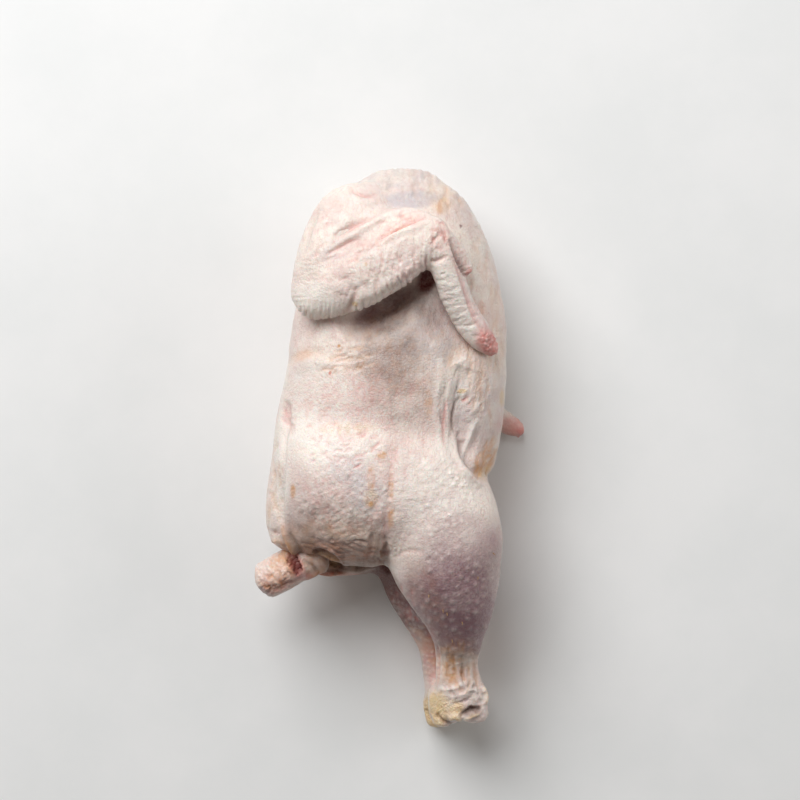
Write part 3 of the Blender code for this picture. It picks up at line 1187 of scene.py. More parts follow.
@dataclass
class BodySkin(SkinPiece):
    """The trunk, both legs and the wing under the bird."""

    name: str = "body_skin"
    voxel: float = 3.02
    relaxing: int = 11
    thin_rounds: int = 2
    shown_slope: float = -0.15
    ankle: float = -150.0
    far_tip: Spot = (52.0, 20.0)
    forms: tuple[Form, ...] = (
        Trunk(
            "trunk",
            (
                (136.0, -20.0, 22.0, 36.0, 80.0),
                (125.0, -37.0, 37.0, 20.0, 96.0),
                (113.0, -46.0, 45.0, 12.0, 104.0),
                (92.0, -56.0, 55.5, 9.0, 107.0),
                (61.0, -63.0, 63.5, 9.0, 104.0),
                (30.0, -68.5, 65.5, 9.0, 107.0),
                (8.0, -71.5, 65.5, 9.0, 108.0),
                (-10.0, -75.5, 64.0, 10.0, 106.0),
                (-26.0, -78.0, 61.5, 11.0, 103.0),
                (-42.0, -80.0, 57.0, 12.0, 101.0),
                (-54.0, -81.5, 44.0, 14.0, 98.0),
                (-70.0, -82.5, 26.0, 18.0, 94.0),
                (-82.0, -81.5, 8.0, 24.0, 89.0),
                (-91.0, -75.0, -4.0, 30.0, 82.0),
            ),
            6.0,
            4.0,
            2.35,
        ),
        Form(
            "near_thigh",
            (
                (-64.0, -48.0, 66.0, 38.0, 26.0),
                (-54.0, -47.0, 68.0, 48.0, 35.0),
                (-38.0, -46.0, 70.0, 54.0, 40.5),
                (-16.0, -47.0, 71.0, 55.0, 41.5),
                (5.0, -50.0, 73.0, 49.0, 38.5),
                (25.0, -55.0, 75.0, 42.0, 34.5),
                (38.0, -60.0, 77.0, 32.0, 29.0),
            ),
            8.0,
            8.0,
        ),
        Form(
            "near_drumstick",
            (
                (14.0, -42.0, 77.0, 26.0, 24.0),
                (20.0, -56.0, 78.5, 32.5, 28.5),
                (25.0, -72.0, 79.0, 35.5, 30.5),
                (27.0, -87.0, 78.5, 35.5, 31.0),
                (28.0, -98.0, 77.0, 34.0, 30.0),
                (31.0, -110.0, 74.0, 30.5, 27.0),
                (33.2, -122.0, 69.0, 25.8, 23.5),
                (34.8, -134.0, 64.0, 20.8, 19.5),
                (35.5, -147.0, 59.0, 15.5, 15.5),
                (34.8, -157.0, 55.5, 13.0, 12.5),
                (34.6, -165.0, 53.0, 13.2, 12.0),
                (35.6, -174.0, 51.5, 14.6, 12.6),
                (37.2, -184.0, 50.5, 15.2, 13.0),
                (37.2, -193.0, 50.0, 14.2, 12.6),
            ),
            8.0,
            3.0,
        ),
        Form(
            "near_knuckle_back",
            (
                (25.0, -181.0, 40.0, 8.5, 16.0),
                (27.0, -197.0, 38.0, 8.8, 18.0),
            ),
            4.0,
            4.5,
        ),
        Form(
            "near_knuckle_front",
            (
                (45.5, -178.0, 52.0, 8.0, 9.0),
                (46.0, -194.5, 51.0, 8.6, 9.0),
            ),
            4.0,
            4.5,
        ),
        Form(
            "far_thigh",
            (
                (-60.0, -42.0, 48.0, 32.0, 26.0),
                (-46.0, -42.0, 42.0, 46.0, 38.0),
                (-25.0, -42.0, 39.0, 54.0, 41.0),
                (0.0, -46.0, 37.0, 48.0, 39.0),
                (20.0, -52.0, 34.0, 38.0, 35.0),
                (32.0, -56.0, 32.0, 28.0, 29.0),
            ),
            8.0,
            8.0,
        ),
        Form(
            "far_drumstick",
            (
                (12.0, -55.0, 32.0, 33.0, 32.0),
                (15.0, -75.0, 31.0, 35.0, 32.0),
                (17.0, -92.0, 30.0, 34.0, 31.5),
                (18.5, -107.0, 29.0, 32.0, 30.0),
                (19.0, -117.0, 27.0, 28.5, 28.0),
                (20.8, -127.0, 24.0, 24.8, 25.0),
                (22.0, -136.0, 21.5, 20.8, 22.0),
                (24.7, -148.5, 18.0, 15.8, 17.5),
                (26.1, -161.0, 15.5, 13.0, 14.0),
                (27.4, -172.0, 14.0, 12.8, 12.6),
                (30.0, -186.0, 14.0, 14.6, 13.0),
                (30.5, -200.0, 13.5, 13.4, 12.6),
            ),
            8.0,
            4.0,
        ),
        Form(
            "far_knuckle_back",
            (
                (22.0, -190.0, 13.0, 8.0, 8.5),
                (24.0, -203.5, 13.0, 8.0, 8.5),
            ),
            4.0,
            4.5,
        ),
        Form(
            "far_knuckle_front",
            (
                (38.0, -187.0, 14.0, 8.0, 9.0),
                (37.0, -199.0, 14.0, 7.6, 8.6),
            ),
            4.0,
            4.5,
        ),
        Form(
            "flap",
            (
                (-60.0, -95.5, 40.0, 9.0, 12.0),
                (-46.0, -101.0, 37.0, 9.5, 11.0),
                (-30.0, -101.5, 36.0, 9.5, 10.0),
                (-14.0, -97.5, 38.0, 9.0, 11.0),
            ),
            4.0,
            6.0,
        ),
        Form("shoulder", NEAR_UPPER_ARM[:3], 6.0, 6.0),
        Form(
            "far_upper_arm",
            (
                (-12.0, 112.0, 30.0, 20.0, 18.0),
                (-28.0, 104.0, 22.0, 20.0, 18.0),
                (-40.0, 86.0, 15.0, 18.0, 15.5),
                (-48.0, 66.0, 12.5, 15.0, 13.5),
            ),
            6.0,
            11.0,
        ),
        Form(
            "far_forearm",
            (
                (-48.0, 62.0, 12.0, 13.0, 13.0),
                (-32.0, 49.0, 11.0, 17.0, 12.5),
                (-8.0, 31.0, 10.0, 17.0, 12.0),
                (14.0, 14.0, 9.0, 13.0, 10.5),
            ),
            12.0,
            8.0,
        ),
        Form(
            "far_hand",
            (
                (14.0, 13.0, 9.0, 11.0, 9.5),
                (36.0, 2.0, 8.0, 9.5, 7.5),
                (58.0, -9.5, 7.5, 8.5, 6.5),
                (71.0, -16.5, 7.0, 7.0, 5.0),
                (78.0, -20.5, 7.0, 4.6, 4.0),
            ),
            5.0,
            2.5,
        ),
    )
    cutters: tuple[Form, ...] = (
        Form(
            "cavity",
            (
                (-40.0, -130.0, 57.0, 22.0, 17.0),
                (-39.0, -100.0, 57.0, 21.0, 17.0),
                (-36.0, -80.0, 57.0, 23.0, 20.0),
                (-32.0, -62.0, 57.0, 20.0, 18.0),
                (-30.0, -52.0, 57.0, 12.0, 11.0),
            ),
            1.0,
            5.0,
        ),
    )
    close: tuple[Patch, ...] = (
        Patch((455, 690), (32, 40)),
        Patch((468, 425), (24, 58)),
        Patch((340, 560), (58, 22)),
        Patch((345, 480), (42, 42)),
        Patch((346, 362), (26, 20)),
    )
    folds: tuple[Fold, ...] = (
        # The hollow under the folded wing and under the hand, darkened with painted shade
        Fold(
            ((340, 332), (362, 318), (386, 305), (408, 292), (426, 278), (440, 262)),
            18.0,
            11.0,
            Tint.PAINTED_SHADE,
            0.15,
        ),
        Fold(((444, 286), (452, 310), (468, 334), (486, 350)), 7.0, 3.0),
        Fold(((428, 292), (436, 314), (448, 338), (458, 362)), 13.0, 3.0, Tint.PAINTED_SHADE, 0.16),
        # The hollow between the thigh's front edge and the breast, its creases darkened with painted shade
        # and its ridges whitened, partly as painted highlight
        Fold(((468, 368), (461, 392), (459, 420), (462, 444), (468, 468)), 12.0, 3.2),
        Fold(((464, 396), (457, 405), (453.5, 418), (454, 428), (457, 436)), 1.7, 1.5, Tint.PAINTED_SHADE, 0.7),
        Fold(
            ((446, 366), (441, 380), (437, 396), (437, 420), (442, 446), (449, 466)),
            4.6,
            -0.9,
            Tint.FAT_AND_HIGHLIGHT,
            0.5,
        ),
        Fold(((444, 372), (440, 384), (436, 398)), 2.2, -0.7, Tint.FAT_AND_HIGHLIGHT, 0.9),
        Fold(((448, 398), (445, 412), (443, 430), (444, 448)), 1.6, 0.6, Tint.BLUSH, 0.6),
        Fold(((453, 372), (449, 392), (448, 418), (450, 442), (459, 462)), 2.6, -0.7, Tint.FAT_AND_HIGHLIGHT, 0.3),
        Fold(((455, 428), (457, 444), (461, 460), (468, 473), (482, 486)), 4.0, -1.8, Tint.FAT_AND_HIGHLIGHT, 0.2),
        Fold(((464, 440), (468, 456), (477, 469), (492, 480)), 5.0, 3.4, Tint.PAINTED_SHADE, 0.35),
        Fold(((478, 419), (473, 430), (468, 448), (466, 464)), 2.2, -1.4, Tint.FAT_AND_HIGHLIGHT, 1.0),
        Fold(((460, 432), (461, 446), (463, 460)), 2.2, 0.6, Tint.BRUISE_AND_SHADE, 0.4),
        Fold(((480, 426), (476, 440), (471, 456)), 2.6, 0.5, Tint.PAINTED_SHADE, 0.3),
        Fold(((470, 396), (467, 400), (463, 402)), 1.6, 0.8, Tint.BLUSH, 0.7),
        Fold(((476, 398), (472, 404), (467, 408)), 1.8, 0.6, Tint.BLUSH, 0.3),
        Fold(((472, 388), (466, 394), (462, 400)), 1.8, -0.5, Tint.FAT_AND_HIGHLIGHT, 0.4),
        Fold(((481, 402), (476, 410), (470, 414)), 2.2, -0.4, Tint.FAT_AND_HIGHLIGHT, 0.3),
        Fold(((466, 356), (462, 372), (460, 386)), 2.0, 0.4),
        Fold(((474, 352), (469, 370), (467, 384)), 2.0, 0.4),
        # The thigh's upper edge, the strip of back beyond it and the dent in its outline, with painted shade
        # in the crease along the thigh's edge
        Fold(((284, 388), (300, 366), (326, 362), (350, 374)), 8.0, -0.9),
        Fold(((284, 366), (296, 356), (312, 352), (332, 356)), 5.0, 0.8, Tint.STAIN, 0.22),
        Fold(((287, 404), (283, 440), (281, 476), (281, 508), (285, 534)), 2.8, 3.2, Tint.PAINTED_SHADE, 0.16),
        Fold(((288, 400), (286, 412), (287, 424), (291, 436)), 4.0, 2.0, Tint.BLUSH, 0.3),
        Fold(((283, 412), (286, 418), (290, 424)), 1.6, -1.0),
        Fold(((264, 535), (271, 541), (279, 541), (285, 545)), 2.4, -1.8, Tint.STAIN, 0.5),
        Fold(((266, 528), (273, 533), (280, 532)), 2.0, 1.4, Tint.BLUSH, 0.3),
        # The cut edge of the skin, the pocket under it and the vent's lips, the pocket darkened with painted
        # shade
        Fold(
            ((281, 522), (284, 534), (288, 543), (294, 552), (302, 562), (310, 572), (318, 578)),
            1.9,
            -2.6,
            Tint.STAIN,
            0.7,
        ),
        Fold(((288, 532), (294, 543), (301, 553), (310, 564)), 2.4, 2.0, Tint.PAINTED_SHADE, 0.4),
        Fold(((312, 553), (321, 557), (331, 562), (340, 568)), 4.6, 5.4, Tint.PAINTED_SHADE, 0.6),
        Fold(((318, 550), (328, 553), (337, 560), (342, 567)), 1.7, 2.4, Tint.PAINTED_SHADE, 0.9),
        Fold(((314, 546), (326, 548), (337, 554), (343, 563), (352, 569)), 2.0, -1.6, Tint.FAT_AND_HIGHLIGHT, 0.3),
        Fold(((340, 568), (352, 571), (366, 569), (380, 563)), 2.6, -1.6),
        Fold(((313, 571), (324, 575), (336, 574), (348, 573)), 1.8, -1.2, Tint.STAIN, 0.4),
        Fold(((318, 567), (328, 570), (338, 571)), 1.8, 1.4, Tint.BRUISE_AND_SHADE, 0.4),
        # Where the drumstick leaves the thigh, with painted shade deepest in the crease at its foot
        Fold(
            ((388, 446), (391, 470), (390, 496), (387, 524), (384, 548), (383, 566)),
            3.4,
            1.5,
            Tint.BLUSH,
            0.2,
        ),
        Fold(((378, 520), (380, 540), (378, 558)), 1.9, 1.0),
        Fold(((370, 530), (372, 544), (369, 558)), 1.8, 1.1, Tint.BRUISE_AND_SHADE, 0.3),
        Fold(((386, 545), (385, 560), (388, 574)), 3.0, 2.6, Tint.PAINTED_SHADE, 0.6),
        Fold(((394, 560), (402, 553), (412, 551), (426, 553)), 2.0, 0.9, Tint.BLUSH, 0.2),
        Fold(((427, 557), (429, 562)), 1.8, 1.6, Tint.FLESH_AND_SHADOW, 0.6),
        # The ankle and the cut end of the hock, with painted shade in an ankle crease and in the recess at
        # the cut end
        Fold(((437, 644), (438, 662), (437, 678), (434, 692)), 1.9, 2.2, Tint.BLUSH, 0.45),
        Fold(((445, 648), (446, 666), (444, 682)), 2.4, -0.8, Tint.FAT_AND_HIGHLIGHT, 0.3),
        Fold(((453, 654), (455, 672), (457, 688)), 1.8, 1.0, Tint.STAIN, 0.5),
        Fold(((461, 652), (463, 672), (464, 690)), 1.9, 1.2, Tint.PAINTED_SHADE, 0.4),
        Fold(((468, 654), (470, 672), (474, 688)), 1.9, -1.0, Tint.FAT_AND_HIGHLIGHT, 0.3),
        Fold(((473, 664), (476, 678), (480, 690)), 1.6, 1.0, Tint.STAIN, 0.4),
        Fold(((438, 688), (448, 690), (460, 686), (468, 682)), 2.2, -0.9, Tint.FAT_AND_HIGHLIGHT, 0.6),
        Fold(((450, 698), (460, 696), (470, 690), (478, 692)), 2.0, -0.9, Tint.FAT_AND_HIGHLIGHT, 0.6),
        Fold(((452, 704), (462, 702), (470, 698)), 1.6, 1.2, Tint.BRUISE_AND_SHADE, 0.4),
        Fold(((483, 686), (486, 695), (485, 705)), 1.6, -1.8, Tint.HORN, 0.4),
        Fold(((460, 717), (468, 711), (476, 709), (482, 709)), 2.2, 4.0, Tint.PAINTED_SHADE, 0.8),
        Fold(((464, 720), (472, 716), (480, 714)), 1.6, -1.6, Tint.HORN, 0.5),
        Fold(((449, 719), (455, 716), (461, 720)), 2.6, -2.4, Tint.HORN, 0.8),
        Fold(((436, 714), (444, 722), (454, 724)), 1.8, 2.2, Tint.FLESH_AND_SHADOW, 0.5),
        Fold(((425, 709), (429, 716), (433, 722)), 1.6, 1.8, Tint.FLESH_AND_SHADOW, 0.4),
        # The neck end
        Fold(((350, 189), (358, 193), (367, 196), (378, 193)), 2.2, 1.2, Tint.BLUSH, 0.45),
        Fold(((376, 202), (392, 199), (414, 199), (436, 205)), 5.0, 1.8),
        Fold(((368, 184), (378, 180), (392, 178)), 3.0, 0.8),
        Fold(((300, 262), (304, 240), (312, 222), (322, 208)), 3.0, 1.2),
    )
    # The brown tint in the creases of some wrinkles is painted shade
    wrinkles: tuple[Wrinkles, ...] = (
        Wrinkles(Patch((288, 414), (7, 16)), 70, 8, 16, 1.3, 0.5, 10, Tint.BLUSH, 0.25, 30),
        Wrinkles(Patch((276, 484), (7, 50)), 84, 14, 24, 1.3, 0.5, 9, Tint.STAIN, 0.30, 12),
        Wrinkles(Patch((346, 362), (24, 15), -12), -18, 13, 44, 1.3, 0.40, 11, Tint.STAIN, 0.25, 16),
        Wrinkles(Patch((350, 412), (50, 30)), -26, 9, 40, 1.3, 0.15, 12, Tint.BLUSH, 0.34, 34),
        Wrinkles(Patch((348, 450), (46, 18)), -16, 10, 44, 1.2, 0.42, 13, Tint.BLUSH, 0.36, 26),
        Wrinkles(Patch((346, 512), (50, 34)), -42, 8, 46, 1.25, 0.34, 14, Tint.PAINTED_SHADE, 0.20, 18),
        Wrinkles(Patch((414, 350), (40, 50)), 98, 20, 110, 1.3, 0.24, 15, Tint.PAINTED_SHADE, 0.08, 9),
        Wrinkles(Patch((414, 430), (26, 54)), 94, 18, 60, 1.35, 0.20, 16, Tint.BLUSH, 0.16, 12),
        Wrinkles(Patch((484, 330), (18, 96)), 90, 26, 90, 1.5, 0.30, 17, Tint.STAIN, 0.20, 7),
        Wrinkles(Patch((462, 360), (14, 24)), 100, 18, 22, 1.7, 0.26, 18, Tint.STAIN, 0.15, 8),
        Wrinkles(Patch((474, 404), (13, 22)), 130, 9, 18, 1.5, 0.22, 28, Tint.BRUISE_AND_SHADE, 0.2, 26),
        Wrinkles(Patch((451, 400), (11, 52)), 94, 24, 26, 1.2, 0.45, 47, Tint.PAINTED_SHADE, 0.16, 10),
        Wrinkles(Patch((486, 458), (12, 20), 20), 118, 16, 26, 1.2, 0.40, 29, Tint.STAIN, 0.7, 9),
        Wrinkles(Patch((348, 552), (42, 13), 8), 14, 18, 70, 1.25, 0.55, 19, Tint.BRUISE_AND_SHADE, 0.22, 12),
        Wrinkles(Patch((386, 530), (22, 34)), 92, 15, 34, 1.5, 0.60, 20, None, 0.0, 14),
        Wrinkles(Patch((330, 568), (18, 8)), 10, 10, 20, 1.2, 0.45, 30, Tint.BRUISE_AND_SHADE, 0.2, 20),
        Wrinkles(Patch((458, 668), (22, 24)), 86, 15, 40, 1.3, 0.36, 21, Tint.STAIN, 0.24, 14),
        Wrinkles(Patch((466, 698), (20, 14)), 20, 7, 50, 1.2, 0.50, 22, Tint.PAINTED_SHADE, 0.24, 60),
        Wrinkles(Patch((436, 706), (12, 18)), 10, 5, 50, 1.0, 0.40, 31, Tint.STAIN, 0.35, 60),
        Wrinkles(Patch((404, 178), (44, 14)), 86, 13, 34, 1.8, 0.45, 8, Tint.PAINTED_SHADE, 0.16, 16),
        Wrinkles(Patch((430, 190), (34, 20), 30), 82, 16, 40, 1.5, 0.35, 23, Tint.STAIN, 0.16, 14),
        Wrinkles(Patch((470, 232), (18, 50)), 66, 12, 40, 1.5, 0.22, 24, Tint.STAIN, 0.14, 20),
        Wrinkles(Patch((320, 340), (30, 30)), -60, 12, 40, 1.5, 0.25, 25, None, 0.0, 26),
        Wrinkles(Patch((274, 490), (8, 50)), 88, 16, 20, 1.4, 0.4, 26, Tint.STAIN, 0.2, 10),
        Wrinkles(Patch((405, 620), (14, 44)), 66, 12, 26, 1.5, 0.5, 27, Tint.BLUSH, 0.4, 16),
        Wrinkles(Patch((300, 520), (16, 26)), 60, 12, 24, 1.4, 0.35, 32, None, 0.0, 20),
    )
    ribs: tuple[Ribs, ...] = (
        Ribs(Patch((404, 178), (40, 14), -6), 6, 8.4, 1.0, 41, 0.8, 0.6),
        Ribs(Patch((446, 204), (20, 32), 40), 40, 7.0, 0.60, 42, 0.9, 0.8),
        Ribs(Patch((478, 260), (18, 56), 10), 100, 9.0, 0.40, 43, 0.7, 0.6),
        Ribs(Patch((384, 548), (24, 26)), 8, 7.0, 0.45, 44),
    )
    follicles: tuple[Follicles, ...] = (
        Follicles(Patch((350, 502), (52, 42)), 7.2, 2.1, 0.50, 61, 34, Tint.DOTS, 0.25),
        Follicles(Patch((434, 502), (42, 44)), 6.6, 2.1, 1.1, 62, 70, Tint.DOTS, 1.0),
        Follicles(Patch((458, 596), (44, 58)), 8.6, 2.3, 1.1, 63, 24, Tint.DOTS, 0.32),
        Follicles(Patch((410, 186), (40, 22)), 6.0, 1.8, 0.30, 64, 10, Tint.DOTS, 0.4),
        Follicles(Patch((472, 250), (26, 80), 10), 8.0, 1.7, 0.28, 65, 20, Tint.DOTS, 0.35),
        Follicles(Patch((414, 636), (18, 50), -24), 5.2, 1.8, 0.7, 67, 20, Tint.DOTS, 0.40),
        Follicles(Patch((437, 707), (13, 14)), 3.4, 1.3, 0.45, 66, 30, Tint.DOTS, 0.30),
    )
    marks: tuple[Mark, ...] = (
        # Whiter skin on the drumstick's top, the thigh and the thigh's front edge, partly painted highlight
        # where the light falls
        Mark(Patch((430, 492), (38, 40), 14), Tint.FAT_AND_HIGHLIGHT, 0.60, 0.5, 5.0),
        Mark(Patch((316, 410), (36, 50)), Tint.FAT_AND_HIGHLIGHT, 0.85, 0.3, 9.0),
        Mark(Patch((280, 462), (10, 60)), Tint.FAT_AND_HIGHLIGHT, 1.0, 0.3, 9.0),
        Mark(Patch((335, 455), (44, 24)), Tint.FAT_AND_HIGHLIGHT, 0.60, 0.4, 7.0),
        Mark(Patch((452, 380), (14, 40)), Tint.FAT_AND_HIGHLIGHT, 0.5, 0.6, 5.0),
        Mark(Patch((350, 470), (24, 14)), Tint.GLASSY_AND_SHADE, 0.35, 0.3, 9.0),
        Mark(Patch((366, 494), (20, 18)), Tint.GLASSY_AND_SHADE, 0.45, 0.2, 9.0),
        Mark(Patch((474, 400), (22, 36)), Tint.GLASSY_AND_SHADE, 0.35, 0.3, 9.0),
        # Greyish darkening of the hollow between hand and breast: translucent skin, and painted shade
        Mark(Patch((424, 330), (34, 40)), Tint.GLASSY_AND_SHADE, 0.45, 0.5, 12.0),
        # Painted shadow under the forearm's edge, brown and dark red, and painted shade on the flank below
        Mark(Patch((400, 314), (44, 24), -26), Tint.PAINTED_SHADE, 0.36, 0.3, 12.0),
        Mark(Patch((384, 308), (36, 11), -32), Tint.PAINTED_SHADE, 0.70, 0.3, 9.0),
        Mark(Patch((388, 303), (34, 6), -32), Tint.FLESH_AND_SHADOW, 0.30, 0.5, 9.0),
        Mark(Patch((404, 362), (44, 34)), Tint.PAINTED_SHADE, 0.20, 0.6, 8.0),
        # Painted shade on the thigh's underside, in the pocket below it and in the crease at the drumstick's
        # foot
        Mark(Patch((332, 558), (54, 18), 4), Tint.PAINTED_SHADE, 0.75, 0.4, 10.0),
        Mark(Patch((336, 532), (54, 30)), Tint.PAINTED_SHADE, 0.56, 0.5, 8.0),
        Mark(Patch((376, 556), (12, 12)), Tint.PAINTED_SHADE, 0.40, 0.4, 8.0),
        # Painted shade on the drumstick's lower end and on the breast's lower edge
        Mark(Patch((458, 634), (34, 26)), Tint.PAINTED_SHADE, 0.74, 0.3, 10.0),
        Mark(Patch((490, 450), (12, 26), 20), Tint.PAINTED_SHADE, 0.20, 0.5, 6.0),
        Mark(Patch((426, 596), (14, 44), -20), Tint.STAIN, 0.14, 0.6, 6.0),
        Mark(Patch((430, 582), (34, 40), -20), Tint.BRUISE_AND_SHADE, 0.34, 0.2, 14.0),
        # Painted shade on the drumstick's lower side, and a painted shadow, brown and dark red, on the far
        # leg between the legs
        Mark(Patch((428, 602), (20, 36), -20), Tint.PAINTED_SHADE, 0.50, 0.5, 8.0),
        Mark(Patch((388, 590), (12, 20), -20), Tint.PAINTED_SHADE, 0.95, 0.2, 6.0),
        Mark(Patch((396, 606), (10, 22), -24), Tint.FLESH_AND_SHADOW, 0.50, 0.4, 6.0),
        Mark(Patch((330, 546), (54, 24), 4), Tint.STAIN, 0.36, 0.5, 6.0),
        Mark(Patch((490, 340), (18, 60)), Tint.STAIN, 0.12, 0.6, 8.0),
        # Painted shade on the flank beside the hand
        Mark(Patch((446, 330), (16, 40), -16), Tint.PAINTED_SHADE, 0.20, 0.5, 8.0),
        Mark(Patch((490, 384), (16, 18)), Tint.BRUISE_AND_SHADE, 0.16, 0.3, 9.0),
        Mark(Patch((494, 381), (7, 8)), Tint.FAT_AND_HIGHLIGHT, 0.95, 0.1, 9.0),
        Mark(Patch((412, 200), (28, 9), -4), Tint.GLASSY_AND_SHADE, 0.95, 0.2, 9.0),
        Mark(Patch((404, 176), (44, 14)), Tint.GLASSY_AND_SHADE, 0.34, 0.6, 6.0),
        # Painted shade on the flank between the wing and the thigh
        Mark(Patch((388, 350), (38, 30)), Tint.PAINTED_SHADE, 0.56, 0.4, 10.0),
        Mark(Patch((404, 396), (34, 32)), Tint.PAINTED_SHADE, 0.32, 0.5, 8.0),
        Mark(Patch((443, 206), (6, 9), 20), Tint.STAIN, 0.7, 0.6, 4.0),
        Mark(Patch((440, 196), (16, 14)), Tint.HORN, 0.22, 0.6, 5.0),
        Mark(Patch((461, 226), (1.4, 1.4)), Tint.FLESH_AND_SHADOW, 0.8, 0.0),
        Mark(Patch((371, 504), (2.4, 3.0)), Tint.STAIN, 1.0, 0.1),
        Mark(Patch((371, 499), (7, 9)), Tint.HORN, 0.35, 0.3),
        Mark(Patch((391, 518), (3.2, 10)), Tint.STAIN, 0.9, 0.5, 4.0),
        Mark(Patch((391, 488), (2.6, 20)), Tint.STAIN, 0.6, 0.7, 4.0),
        Mark(Patch((371, 478), (4.0, 14)), Tint.STAIN, 0.6, 0.6, 5.0),
        Mark(Patch((382, 455), (5.0, 3.6)), Tint.STAIN, 0.8, 0.5, 3.0),
        Mark(Patch((293, 491), (2.6, 7)), Tint.STAIN, 0.85, 0.3, 4.0),
        Mark(Patch((339, 346), (1.6, 1.6)), Tint.STAIN, 1.0, 0.0),
        Mark(Patch((330, 373), (1.5, 1.5)), Tint.BLUSH, 1.0, 0.0),
        Mark(Patch((302, 356), (10, 5), -20), Tint.STAIN, 0.35, 0.4),
        Mark(Patch((462, 391), (4.5, 2.2)), Tint.HORN, 0.95, 0.2, 3.0),
        Mark(Patch((502, 398), (2.4, 8)), Tint.HORN, 0.7, 0.2),
        Mark(Patch((486, 462), (9, 16), 30), Tint.STAIN, 0.8, 0.6, 3.0),
        Mark(Patch((486, 474), (7, 8), 30), Tint.HORN, 0.4, 0.3, 3.0),
        Mark(Patch((346, 428), (26, 7)), Tint.HORN, 0.30, 0.8, 4.0),
        Mark(Patch((428, 404), (4, 14)), Tint.STAIN, 0.5, 0.7, 4.0),
        Mark(Patch((346, 404), (60, 34)), Tint.BLUSH, 0.22, 1.0, 2.6),
        Mark(Patch((400, 350), (60, 50)), Tint.STAIN, 0.16, 1.0, 3.0),
        Mark(Patch((350, 500), (50, 40)), Tint.BLUSH, 0.16, 1.0, 3.4),
        Mark(Patch((450, 670), (6, 14)), Tint.STAIN, 0.85, 0.6, 3.0),
        Mark(Patch((430, 660), (7, 30)), Tint.BLUSH, 0.40, 0.6, 5.0),
        Mark(Patch((436, 710), (13, 18)), Tint.HORN, 1.0, 0.2, 5.0),
        Mark(Patch((455, 708), (9, 8)), Tint.HORN, 0.7, 0.6, 4.0),
        Mark(Patch((432, 712), (7, 10)), Tint.STAIN, 0.5, 0.6, 3.0),
        Mark(Patch((462, 692), (18, 10), -10), Tint.FAT_AND_HIGHLIGHT, 0.6, 0.8, 3.0),
        Mark(Patch((456, 664), (24, 26)), Tint.STAIN, 0.30, 0.8, 4.0),
        # Painted shade on the ankle and in the recess at the hock's cut end
        Mark(Patch((458, 650), (26, 10)), Tint.PAINTED_SHADE, 0.24, 0.6, 5.0),
        Mark(Patch((468, 700), (14, 14)), Tint.PAINTED_SHADE, 0.30, 0.9, 3.0),
        Mark(Patch((472, 712), (10, 6)), Tint.PAINTED_SHADE, 0.8, 0.4, 4.0),
        # Painted shadow, dark red, in the gap under the wrist, and purple painted shade under the forearm
        Mark(Patch((427, 280), (9, 14), 20), Tint.FLESH_AND_SHADOW, 1.0, 0.1),
        Mark(Patch((385, 308), (40, 14), -28), Tint.BRUISE_AND_SHADE, 0.35, 0.5, 8.0),
        Mark(Patch((335, 575), (24, 3)), Tint.BLUSH, 0.8, 0.5, 4.0),
        Mark(Patch((325, 560), (14, 8), 20), Tint.HORN, 0.35, 0.4, 4.0),
        Mark(Patch((345, 552), (36, 14)), Tint.BRUISE_AND_SHADE, 0.35, 0.6, 6.0),
        Mark(Patch((512, 426), (16, 12)), Tint.BLUSH, 0.65, 0.5, 5.0),
        Mark(Patch((524, 432), (8, 7)), Tint.BLUSH, 0.8, 0.4, 3.0),
        Mark(Patch((464, 552), (38, 40), 0), Tint.BRUISE_AND_SHADE, 0.46, 0.2, 16.0),
        Mark(Patch((452, 600), (46, 46), 0), Tint.BRUISE_AND_SHADE, 0.80, 0.2, 16.0),
        Mark(Patch((486, 700), (8, 10)), Tint.FAT_AND_HIGHLIGHT, 0.6, 0.6, 3.0),
    )
    regions: tuple[Region, ...] = (
        Region((42.0, -108.0, 74.0), (30.0, 36.0, 40.0), Tint.BRUISE_AND_SHADE, 0.45, 0.25, 12.0),
        Region((38.0, -132.0, 62.0), (28.0, 20.0, 34.0), Tint.BRUISE_AND_SHADE, 0.70, 0.25, 9.0),
        # Painted shade on the far leg, brown and dark red, where it lies in the near leg's shadow
        Region((16.0, -112.0, 26.0), (38.0, 34.0, 30.0), Tint.PAINTED_SHADE, 1.0, 0.25, 10.0),
        Region((14.0, -100.0, 30.0), (34.0, 26.0, 34.0), Tint.FLESH_AND_SHADOW, 0.60, 0.25, 10.0),
        Region((26.0, -150.0, 18.0), (20.0, 26.0, 20.0), Tint.BLUSH, 0.22, 0.4, 5.0),
        Region((24.0, -142.0, 18.0), (22.0, 24.0, 20.0), Tint.STAIN, 0.35, 0.5, 4.0),
        Region((-38.0, -84.0, 57.0), (20.0, 26.0, 16.0), Tint.FLESH_AND_SHADOW, 0.85, 0.15, 8.0),
        Region((30.0, -205.0, 16.0), (18.0, 18.0, 18.0), Tint.HORN, 0.8, 0.3, 5.0),
        Region((76.0, -19.5, 7.0), (10.0, 8.0, 8.0), Tint.BLUSH, 0.45, 0.3, 4.0),
    )

    def is_thin(self, place: Vector) -> bool:
        """Says whether a point is in an ankle or in the lower wing's tip."""
        return place.y < self.ankle or (place.x > self.far_tip[0] and place.z < self.far_tip[1])


